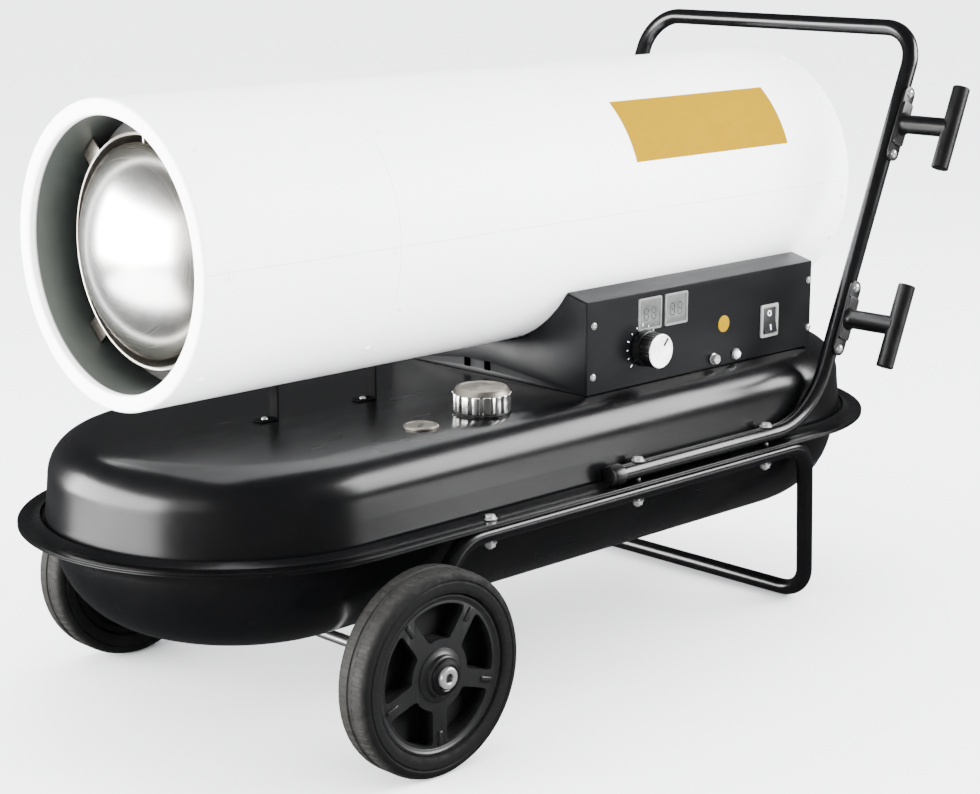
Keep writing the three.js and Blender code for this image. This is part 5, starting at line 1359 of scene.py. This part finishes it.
    def guard(self, fitter: Fitter) -> None:
        """Welds the rear guard of round wire."""
        wire, pitch, reach = 1.5, 38, 146
        back = self.length - 14 + wire
        wires = []
        for ring in range(4):
            centre = self.radius - self.sheet - 0.6 - GAP - wire - pitch * ring
            wires.append(Bench.turned([(centre + u, back + v) for u, v in circle((0, 0), wire, 10)], Axis.X, 96))
        for i in range(3):
            bar = Bench.tube([Vector((back - wire, 0, -reach)), Vector((back - wire, 0, reach))], wire, 3)
            wires.append(Bench.turned_by(bar, 60 * i, Axis.X))
        fitter.fit(Bench.on_air_line(*wires), "guard", GUARD_BLACK, "black_tube", replaces=["rear_guard"])

    def build(self, fitter: Fitter) -> None:
        """Builds the casing and what is fixed to it."""
        self.sections(fitter)
        self.outlet_lip(fitter)
        self.brackets(fitter)
        self.film(fitter)
        self.screws(fitter)
        self.guard(fitter)


# --------------------------------------------------------------------------------------------- Burner


@dataclass
class Burner:
    """The combustion drum with its dome, straps and head."""

    radius: float = 113.5
    front: float = 42
    length: float = 520
    sheet: float = 1.5
    dome_radius: float = 105
    dome_bulge: float = 42
    strap: float = 24

    def drum(self, fitter: Fitter) -> None:
        """Rolls the drum with its bead and bends its straps."""
        r, rear = self.radius, self.front + self.length
        bead = [(r + u, self.front + 1.6 + v) for u, v in arc((0, 0), 1.6, 200, 20, 8)]
        wall = Bench.turned([(r - self.sheet, self.front + 2), *bead, (r, self.front + 3), (r, rear),
                             (r - self.sheet, rear)], Axis.X, 128)
        straps = []
        half, foot = self.strap / 2, 18
        for x, reach in ((self.front + 5, 132.0), (rear - 23, 146.6)):
            for angle in (45, 135, 225, 315):
                upright = Bench.block((x, -half, r - 1), (x + 2, half, reach), 0.6)
                base = Bench.block((x, -half, r - 1.2), (x + foot, half, r + 2), 0.6)
                straps.append(Bench.turned_by(Bench.joined(upright, base), angle, Axis.X))
        fitter.fit(Bench.on_air_line(wall, *straps), "drum", DRUM, "stainless", replaces=["combustion_drum"])

    def dome(self, fitter: Fitter) -> None:
        """Spins the domed deflector with its rolled rim."""
        sphere = (self.dome_radius**2 + self.dome_bulge**2) / (2 * self.dome_bulge)
        rim = math.asin(self.dome_radius / sphere)
        apex = self.front - self.dome_bulge

        def cap(size: float) -> list[Pair]:
            """Returns the arc of a cap of the dome's sphere, from its pole to its rim."""
            angles = [rim * i / 28 for i in range(29)]
            return [(size * math.sin(a), apex + sphere - size * math.cos(a)) for a in angles]

        outside, inside = cap(sphere), cap(sphere - self.sheet)[::-1]
        skirt = self.front + 14
        turn = [(self.dome_radius, self.front + 1.5), (self.dome_radius, skirt), (self.dome_radius - 1.5, skirt),
                (self.dome_radius - 1.5, self.front + 2.5)]
        profile = [*outside[:-1], (self.dome_radius - 0.4, self.front - 0.2), *turn, *inside[1:]]
        shell = Bench.turned(profile, Axis.X, 128)
        struts = [Bench.turned_by(Bench.block((skirt - 10, -1, 103.6), (skirt, 1, 111.2), 0.4), 120 * i, Axis.X)
                  for i in range(3)]
        fitter.fit(Bench.on_air_line(shell, *struts), "dome", DOME, "stainless", replaces=["outlet_dome"])

    def build(self, fitter: Fitter) -> None:
        """Builds the drum, its dome and the burner's own parts."""
        self.drum(fitter)
        self.dome(fitter)
        for node, finish in (("drum_head", STEEL), ("burner_nozzle", STEEL), ("igniter", CERAMIC),
                             ("flame_photocell", BLACK_PLASTIC)):
            fitter.carry(node, finish)


# ------------------------------------------------------------------------------------------ Air mover


@dataclass
class AirMover:
    """The fan, its motor and the air pump, seen through the rear guard."""

    fan_x: float = 690
    fan_radius: float = 138
    hub_length: float = 32
    blades: int = 6
    pitch: float = 32
    motor_x: float = 748
    motor_radius: float = 46
    motor_length: float = 108
    pump_length: float = 36
    pump_radius: float = 38
    filter_radius: float = 33
    filter_length: float = 16

    def blade(self) -> bpy.types.Object:
        """Returns one twisted, cupped blade that stands up from the hub."""
        outline = softened([(-11, 20), (11, 20), (23, 60), (23, 128), (12, self.fan_radius - 0.6),
                            (-17, self.fan_radius - 0.6), (-23, 118), (-23, 60)], 12, 5)
        sheet = Bench.plate(outline, -0.9, 0.9, Axis.Z, soft=0.4)
        Bench.edit(sheet)
        bpy.ops.mesh.quads_convert_to_tris()
        bpy.ops.mesh.subdivide(number_cuts=2)
        Bench.done()
        for vertex in sheet.data.vertices:
            across, out, through = vertex.co
            twist = math.radians(self.pitch + 10 - 16 * (out / self.fan_radius))
            cup = 3.2 * (1 - (across / 23) ** 2)
            through += cup - 2.4
            vertex.co = (-across * math.sin(twist) + through * math.cos(twist),
                         across * math.cos(twist) + through * math.sin(twist), out)
        return sheet

    def fan(self, fitter: Fitter) -> None:
        """Builds the fan on its hub."""
        rear = self.fan_x + self.hub_length
        hub = Bench.turned([(5.3, self.fan_x), (16, self.fan_x), (22, self.fan_x + 1.4), (24, self.fan_x + 4),
                            (24, rear - 1.2), (22.8, rear), (19, rear), (18, rear - 3), (9, rear - 3), (8, rear),
                            (5.3, rear)], Axis.X, 64)
        blades = []
        first = self.blade()
        for i in range(self.blades):
            twin = Bench.at(Bench.copied(first), self.fan_x + self.hub_length / 2)
            blades.append(Bench.turned_by(twin, 360 * i / self.blades, Axis.X))
        bpy.data.objects.remove(first)
        fitter.fit(Bench.on_air_line(hub, *blades), "fan_wheel", SHEET, "aluminium", "fan_rotor", ["fan"])

    def motor(self, fitter: Fitter) -> None:
        """Turns the motor's ribbed body and its end bells."""
        low, high, r = self.motor_x, self.motor_x + self.motor_length, self.motor_radius
        ribs: list[Pair] = []
        for i in range(12):
            x = low + 16 + i * 6.6
            ribs += [(r, x), (r, x + 2.2), (r - 1.8, x + 2.9), (r - 1.8, x + 5.6)]
        profile = [(5.3, 774.3), (5.3, low - 8), (16.6, low - 8), (18, low - 6.8), (18, low - 1), (26, low + 0.6),
                   (41, low + 1.2), (r - 1, low + 3), (r, low + 6), *ribs, (r, high - 8), (r, high - 3),
                   (r - 2, high - 0.6), (30, high), (0, high), (0, 774.3)]
        fitter.fit(Bench.on_air_line(Bench.turned(profile, Axis.X, 64)), "motor_body", MOTOR_GREY, "steel",
                   replaces=["motor"])

    def pump(self, fitter: Fitter) -> None:
        """Turns the pump, its filter cover, its screws and its nipple."""
        low = self.motor_x + self.motor_length + GAP
        mid, r = low + self.pump_length, self.pump_radius
        high = mid + self.filter_length
        profile = [(0, low), (r - 1, low), (r, low + 1), (r, low + 10), (r - 1.2, low + 11), (r - 1.2, low + 13),
                   (r, low + 14), (r, mid - 1.4), (r - 1.4, mid), (self.filter_radius, mid),
                   (self.filter_radius, high - 3), (self.filter_radius - 3, high), (12, high), (11, high - 1.6),
                   (0, high - 1.6)]
        body = Bench.turned(profile, Axis.X, 64)
        nipple = Bench.turned([(0, -50), (3, -50), (4, -48.6), (3.4, -45), (4, -44.6), (3.4, -41), (4, -40.6),
                               (4, -19), (0, -19)], Axis.Z, 20)
        Bench.at(nipple, low + self.pump_length / 2)
        fitter.fit(Bench.on_air_line(body, nipple), "pump", CAST, "aluminium", replaces=["air_pump"])
        heads = []
        for i in range(4):
            screw = Bench.turned_by(Fastener.screw(3, 1.6), 90, Axis.Y)
            heads.append(Bench.turned_by(Bench.at(screw, high, 0, 22), 45 + 90 * i, Axis.X))
        fitter.fit(Bench.on_air_line(*heads), "pump_screws", SCREW, "zinc")

    def build(self, fitter: Fitter) -> None:
        """Builds the air mover."""
        self.fan(fitter)
        self.motor(fitter)
        self.pump(fitter)
        fitter.carry("motor_shaft", STEEL)
        fitter.carry("motor_bracket", STEEL)


# ----------------------------------------------------------------------------------------- Control box


@dataclass
class ControlBox:
    """The control box under the casing with everything on its panel."""

    front: float = 499.5
    length: float = 388
    half_width: float = 156
    base: float = 307.95
    top: float = 409.65
    strip_rise: float = 7.5
    sheet: float = 1.5
    saddle_radius: float = 150.3
    knob: Pair = (588.5, 348.5)
    switch: Pair = (808, 349)
    switch_size: Pair = (31.5, 38.5)
    displays: tuple[Pair, Pair] = ((599.8, 385), (643.5, 385))
    display_size: Pair = (38, 36)
    fuse: Pair = (709.5, 318)
    reset: Pair = (748.7, 318)
    dot: Pair = (727, 356)
    screw_spots: tuple[Pair, ...] = ((510, 383), (509, 327), (882, 387), (884, 330))

    @property
    def edge(self) -> float:
        """The distance from the middle plane at which the sloping strips meet the casing."""
        return math.sqrt(self.saddle_radius**2 - (AXIS_Z - self.top - self.strip_rise) ** 2)

    def side(self, sign: int) -> bpy.types.Object:
        """Returns a side panel with the sloping strip along its top."""
        face, inside = sign * self.half_width, sign * (self.half_width - self.sheet)
        edge, crest = sign * self.edge, self.top + self.strip_rise
        outline = [(face, self.base), (face, self.top), (edge, crest), (edge, crest - self.sheet),
                   (inside, self.top - self.sheet), (inside, self.base)]
        panel = Bench.plate(outline, self.front, self.front + self.length, Axis.X)
        return Bench.beveled(panel, 0.6, 3)

    def opening(self, spot: Pair, width: float, height: float) -> bpy.types.Object:
        """Returns a tool for a square opening in the panel."""
        (x, z), face = spot, -self.half_width
        return Bench.block((x - width / 2, face - 2, z - height / 2), (x + width / 2, face + 3, z + height / 2), 0.8)

    def hole(self, spot: Pair, radius: float) -> bpy.types.Object:
        """Returns a tool for a round hole in the panel."""
        tool = Bench.turned([(0, -2), (radius, -2), (radius, 3), (0, 3)], Axis.Y, 40)
        return Bench.at(tool, spot[0], -self.half_width, spot[1])

    def on_panel(self, obj: bpy.types.Object, spot: Pair) -> bpy.types.Object:
        """Moves a piece drawn about the panel's face to its place."""
        return Bench.at(obj, spot[0], -self.half_width, spot[1])

    @staticmethod
    def outwards(profile: Sequence[Pair], steps: int = 48) -> bpy.types.Object:
        """Turns a profile of radius and distance out of the panel."""
        return Bench.turned([(radius, -out) for radius, out in profile], Axis.Y, steps)

    def sheets(self, fitter: Fitter) -> None:
        """Folds the side panels and cuts the saddle plates."""
        panel = Bench.cut(self.side(-1), *[self.opening(s, 38.6, 36.6) for s in self.displays],
                          self.opening(self.switch, 28.1, 35.1), self.hole(self.knob, 5), self.hole(self.fuse, 5.8),
                          self.hole(self.reset, 5.8))
        fitter.fit(panel, "panel_left", PANEL_BLACK, "black_enamel", replaces=["control_panel"], angle=40)
        fitter.fit(self.side(1), "panel_right", PANEL_BLACK, "black_enamel", replaces=["right_panel"], angle=40)
        side = self.half_width - self.sheet - GAP
        drop = self.sheet + GAP
        corner = self.top - drop
        angle = math.degrees(math.asin((AXIS_Z - self.top - self.strip_rise + drop) / self.saddle_radius))
        saddle = [(side, self.base), (side, corner), *arc((0, AXIS_Z), self.saddle_radius, -angle, angle - 180, 64),
                  (-side, corner), (-side, self.base)]
        ports = [rectangle((y - 5, 313), (y + 5, 323), 1.5) for y in (28, -4)]
        rear = self.front + self.length - self.sheet
        for name, x, holes in (("front", self.front, ports), ("rear", rear, [])):
            plate = Bench.plate(saddle, x, x + self.sheet, Axis.X, holes=holes, soft=0.3)
            fitter.fit(plate, f"saddle_{name}", PANEL_BLACK, "black_enamel", replaces=[f"{name}_saddle_plate"])
        for number, spot in enumerate(self.screw_spots, 1):
            screw = Bench.turned_by(Fastener.screw(4.2, 2.2), 90, Axis.X)
            fitter.fit(self.on_panel(screw, spot), f"panel_screw_{number}", SCREW, "zinc")

    def thermostat(self, fitter: Fitter) -> None:
        """Makes the knob with its bright face, pointer and scale ring."""
        base = self.outwards([(0, 2), (19.6, 2), (20.5, 3), (20.5, 9.4), (19.8, 10.4), (18.4, 11), (0, 11)], 64)
        ribs = 30
        outline = fluted(ribs * 6, lambda a: 19.3 - 0.6 * (0.5 + 0.5 * math.cos(ribs * a)))
        grip = Bench.plate(outline, -26.6, -10.6, Axis.Y, soft=0.7)
        shaft = self.outwards([(0, -13), (3, -13), (3, 3), (0, 3)], 24)
        knob = Bench.joined(base, grip, shaft)
        fitter.fit(self.on_panel(knob, self.knob), "knob_body", BLACK_PLASTIC, "black_plastic", "knob",
                   ["thermostat_knob"])
        face = self.outwards([(0, 26), (18.4, 26), (18.7, 26.6), (18.4, 27.5), (17.4, 27.9), (16.2, 27.6), (15.4, 27),
                              (0, 27.2)], 72)
        pointer = Bench.plate(rectangle((7, -1.2), (17, 1.2), 0.9), -28, -26.8, Axis.Y, soft=0.2)
        fitter.fit(self.on_panel(face, self.knob), "knob_face", KNOB_WHITE, "grey_plastic", "knob")
        fitter.fit(self.on_panel(Bench.turned_by(pointer, 40, Axis.Y), self.knob), "knob_pointer", DARK_PLASTIC,
                   "black_plastic", "knob")
        ticks = []
        for i in range(13):
            tick = Bench.block((-0.5, -0.35, 23.5), (0.5, 0.05, 27 if i % 3 == 0 else 25.6), 0.12)
            ticks.append(Bench.turned_by(tick, -135 + 22.5 * i, Axis.Y))
        fitter.fit(self.on_panel(Bench.joined(*ticks), self.knob), "knob_scale", PALE_MARK, "grey_plastic")

    def mains_switch(self, fitter: Fitter) -> None:
        """Makes the rocker switch with its pale bezel."""
        w, h = self.switch_size[0] / 2, self.switch_size[1] / 2
        well = [rectangle((-h + 4, -w + 4), (h - 4, w - 4), 1)]
        body = Bench.joined(
            Bench.plate(rectangle((-h, -w), (h, w), 2.2), -2.8, -GAP, Axis.Y, soft=0.7, holes=well),
            Bench.plate(rectangle((-h + 2, -w + 2), (h - 2, w - 2), 1), -0.6, 26, Axis.Y, holes=well),
            Bench.block((-w + 3.8, 9, -h + 3.8), (w - 3.8, 11, h - 3.8)))
        fitter.fit(self.on_panel(body, self.switch), "switch_case", SWITCH_GREY, "black_plastic",
                   replaces=["switch_body"])
        half, width = h - 4.6, w - 4.6
        outline = [(-3.4, -half), (-1.7, 0), (-3.4, half), (1, half), (5, half / 3), (5, -half / 3), (1, -half)]
        rocker = Bench.beveled(Bench.plate(outline, -width, width, Axis.X), 0.6, 2)
        bar = Bench.block((-0.9, -3.35, -11.4), (0.9, -2.2, -5.0), 0.2)
        ring = Bench.at(self.outwards([(2.2, 2.2), (3.4, 2.2), (3.4, 3.3), (2.2, 3.3)], 32), z=8.2)
        for piece, name, finish, node in ((rocker, "rocker_key", DARK_PLASTIC, ["switch_rocker"]),
                                          (Bench.joined(bar, ring), "rocker_marks", PALE_MARK, [])):
            Bench.turned_by(piece, -8, Axis.X)
            fitter.fit(self.on_panel(piece, self.switch), name, finish, "grey_plastic", "rocker", node)

    def readouts(self, fitter: Fitter) -> None:
        """Makes both display windows on their common board."""
        frames, panes, bars = [], [], []
        segments = [(0, v, 2.3, 0.5) for v in (0, 6.4, -6.4)]
        segments += [(u, v, 0.5, 2.3) for u in (3.4, -3.4) for v in (3.2, -3.2)]
        w, h = self.display_size[0] / 2, self.display_size[1] / 2
        for x in (0, self.displays[1][0] - self.displays[0][0]):
            outer = rectangle((-h, -w + x), (h, w + x), 2)
            inner = rectangle((-h + 2.6, -w + 2.6 + x), (h - 2.6, w - 2.6 + x), 1)
            frames.append(Bench.plate(outer, -1.2, 8, Axis.Y, holes=[inner], soft=0.5))
            panes.append(Bench.plate(inner, -0.3, 6, Axis.Y, soft=0.2))
            for digit in (-6.2, 6.2):
                for u, v, width, height in segments:
                    low = (x + digit + u - width, -0.42, v - height)
                    bars.append(Bench.block(low, (x + digit + u + width, -0.2, v + height)))
        board = Bench.block((-25, 7, -19.5), (68.7, 9, 16), 0.3)
        fitter.fit(self.on_panel(Bench.joined(*frames, board), self.displays[0]), "display_frames", GREY_PLASTIC,
                   "grey_plastic", replaces=["display_module"])
        fitter.fit(self.on_panel(Bench.joined(*panes), self.displays[0]), "display_panes", PANE, "grey_plastic")
        fitter.fit(self.on_panel(Bench.joined(*bars), self.displays[0]), "display_bars", DARK_PLASTIC, "grey_plastic")

    def fittings(self, fitter: Fitter) -> None:
        """Makes the fuse holder, the reset button and the plain amber dot."""
        holder = self.outwards([(0, -26), (5.4, -26), (5.4, GAP), (6.5, GAP), (6.5, 1.6), (6.1, 2), (5.6, 2.2),
                                (5.4, 6.2), (4.8, 7), (0, 7)], 40)
        holder = Bench.cut(holder, Bench.block((-6, -8, -0.6), (6, -6, 0.6)))
        fitter.fit(self.on_panel(holder, self.fuse), "fuse_cap", SCREW, "black_plastic", replaces=["fuse_holder"])
        bush = self.outwards([(4.3, -9), (4.3, 3), (5.7, 3), (6.3, 2.4), (6.5, 1.6), (6.5, GAP), (5.4, GAP),
                              (5.4, -17), (0, -17), (0, -9)], 40)
        fitter.fit(self.on_panel(bush, self.reset), "reset_bush", SCREW, "zinc", replaces=["reset_switch"])
        button = self.outwards([(0, -5), (4, -5), (4, 4.9), (3.7, 5.6), (3, 6), (0, 6)], 40)
        fitter.fit(self.on_panel(button, self.reset), "reset_key", PALE_MARK, "zinc", "reset", ["reset_button"])
        dot = self.outwards([(0, 0.02), (9.6, 0.02), (9.6, 0.25), (9.2, 0.4), (0, 0.4)], 48)
        fitter.fit(self.on_panel(dot, self.dot), "amber_dot", AMBER, "grey_plastic")

    def hoses(self, fitter: Fitter) -> None:
        """Runs the fuel hose and the air hose between their nipples."""
        fuel = [(640, 0, TANK_TOP + 12.3), (640, 0, AXIS_Z), (595.6, 0, AXIS_Z)]
        fitter.fit(Bench.tube(bent_line(fuel, [0, 16, 0]), 4, 5), "hose_fuel", HOSE, "hose_rubber",
                   replaces=["fuel_hose"])
        run, pump_x, nozzle_x = TANK_TOP + 20, 874.3, 578.3
        air = [(pump_x, 0, AXIS_Z - 50.3), (pump_x, 0, run), (pump_x - 45, -45, run), (nozzle_x + 45, -45, run),
               (nozzle_x, 0, run), (nozzle_x, 0, AXIS_Z - 26.3)]
        fitter.fit(Bench.tube(bent_line(air, [0, 16, 16, 16, 16, 0]), 4, 5), "hose_air", HOSE, "hose_rubber",
                   replaces=["air_hose"])

    def build(self, fitter: Fitter) -> None:
        """Builds the control box."""
        self.sheets(fitter)
        self.thermostat(fitter)
        self.mains_switch(fitter)
        self.readouts(fitter)
        self.fittings(fitter)
        self.hoses(fitter)
        for node, finish in (("control_board", BOARD_GREEN), ("ignition_transformer", BLACK_PLASTIC),
                             ("thermostat_body", BLACK_PLASTIC)):
            fitter.carry(node, finish)


# --------------------------------------------------------------------------------------------- Studio


@dataclass
class Studio:
    """The camera, the pale floor and the soft lights."""

    eye: Triple = (-1178.2, -1716.1, 838.8)
    heading: Triple = (0.68271, 0.69491, -0.22618)
    lens: float = 80.57
    sensor: float = 36
    floor_size: float = 80
    room: float = 5.6
    room_gloss: float = 0.1
    lamps: tuple[tuple[str, Triple, Triple, Pair, float], ...] = (
        ("left_box", (-2.56, 1.22, 0.74), (-0.45, 0, 0.6), (3.6, 1.45), 480),
        ("low_card", (-1.62, 0.5, 0.02), (-1.62, 0.5, 1), (1.2, 1.3), 55),
        ("side_card", (0.9, -1.2, 0.02), (0.9, -1.2, 1), (1.0, 1.0), 11),
        ("panel_card", (0.98, -1.6, 0.02), (0.98, -1.6, 1), (0.9, 0.5), 16),
        ("right_box", (2.3, -2.1, 1.72), (0.1, -0.19, 0.3), (2.1, 1.9), 280),
        ("front_fill", (-3.4, -0.9, 1.2), (-0.45, 0, 0.4), (1.6, 1.6), 14))

    def camera(self) -> None:
        """Sets the camera where the photograph was taken from."""
        data = bpy.data.cameras.new("camera")
        data.lens, data.sensor_width, data.sensor_fit = self.lens, self.sensor, "HORIZONTAL"
        data.clip_start, data.clip_end = 0.05, 200
        camera = bpy.data.objects.new("camera", data)
        bpy.context.scene.collection.objects.link(camera)
        camera.location = (Vector(self.eye) + DATUM) * MM
        camera.rotation_euler = Vector(self.heading).to_track_quat("-Z", "Y").to_euler()
        bpy.context.scene.camera = camera

    def floor(self) -> None:
        """Lays the floor."""
        bpy.ops.object.select_all(action="DESELECT")
        bpy.ops.mesh.primitive_plane_add(size=self.floor_size, location=(0, 0, 0))
        floor = bpy.context.active_object
        floor.name = "floor"
        floor.data.materials.append(FLOOR.material())
        floor.visible_glossy = False

    def light(self, name: str, place: Triple, aim: Triple, size: Pair, power: float) -> None:
        """Hangs a soft light.

        Args:
            name: Its name.
            place: Where it hangs, in metres.
            aim: What it faces.
            size: Its width and height.
            power: Its power in watts.
        """
        data = bpy.data.lights.new(name, "AREA")
        data.shape, data.size, data.size_y, data.energy = "RECTANGLE", size[0], size[1], power
        lamp = bpy.data.objects.new(name, data)
        bpy.context.scene.collection.objects.link(lamp)
        lamp.location = place
        lamp.rotation_euler = (Vector(aim) - Vector(place)).to_track_quat("-Z", "Y").to_euler()
        lamp.visible_camera = False

    def sky(self) -> None:
        """Sets the even light of the room, which polished faces see dimmer than the floor does."""
        world = bpy.data.worlds.new("studio")
        world.use_nodes = True
        tree = world.node_tree
        room = tree.nodes["Background"]
        room.inputs["Color"].default_value = (0.95, 0.97, 1, 1)
        path = tree.nodes.new("ShaderNodeLightPath")
        level = tree.nodes.new("ShaderNodeMapRange")
        level.inputs["To Min"].default_value = self.room
        level.inputs["To Max"].default_value = self.room_gloss
        tree.links.new(path.outputs["Is Glossy Ray"], level.inputs["Value"])
        tree.links.new(level.outputs["Result"], room.inputs["Strength"])
        bpy.context.scene.world = world

    def build(self) -> None:
        """Sets up the studio."""
        self.floor()
        self.sky()
        for lamp in self.lamps:
            self.light(*lamp)


def main() -> None:
    """Builds the heater around its frame, in order."""
    logging.basicConfig(level=logging.INFO, format="%(name)s: %(message)s")
    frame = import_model()
    bpy.ops.object.select_all(action="DESELECT")
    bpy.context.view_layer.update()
    studio = Studio()
    studio.camera()
    fitter = Fitter(frame)
    for assembly in (Tank(), TubeFrame(), Wheels(), Casing(), Burner(), AirMover(), ControlBox()):
        log.info("building %s", type(assembly).__name__)
        assembly.build(fitter)
    fitter.check()
    studio.build()


if __name__ == "__main__":
    main()
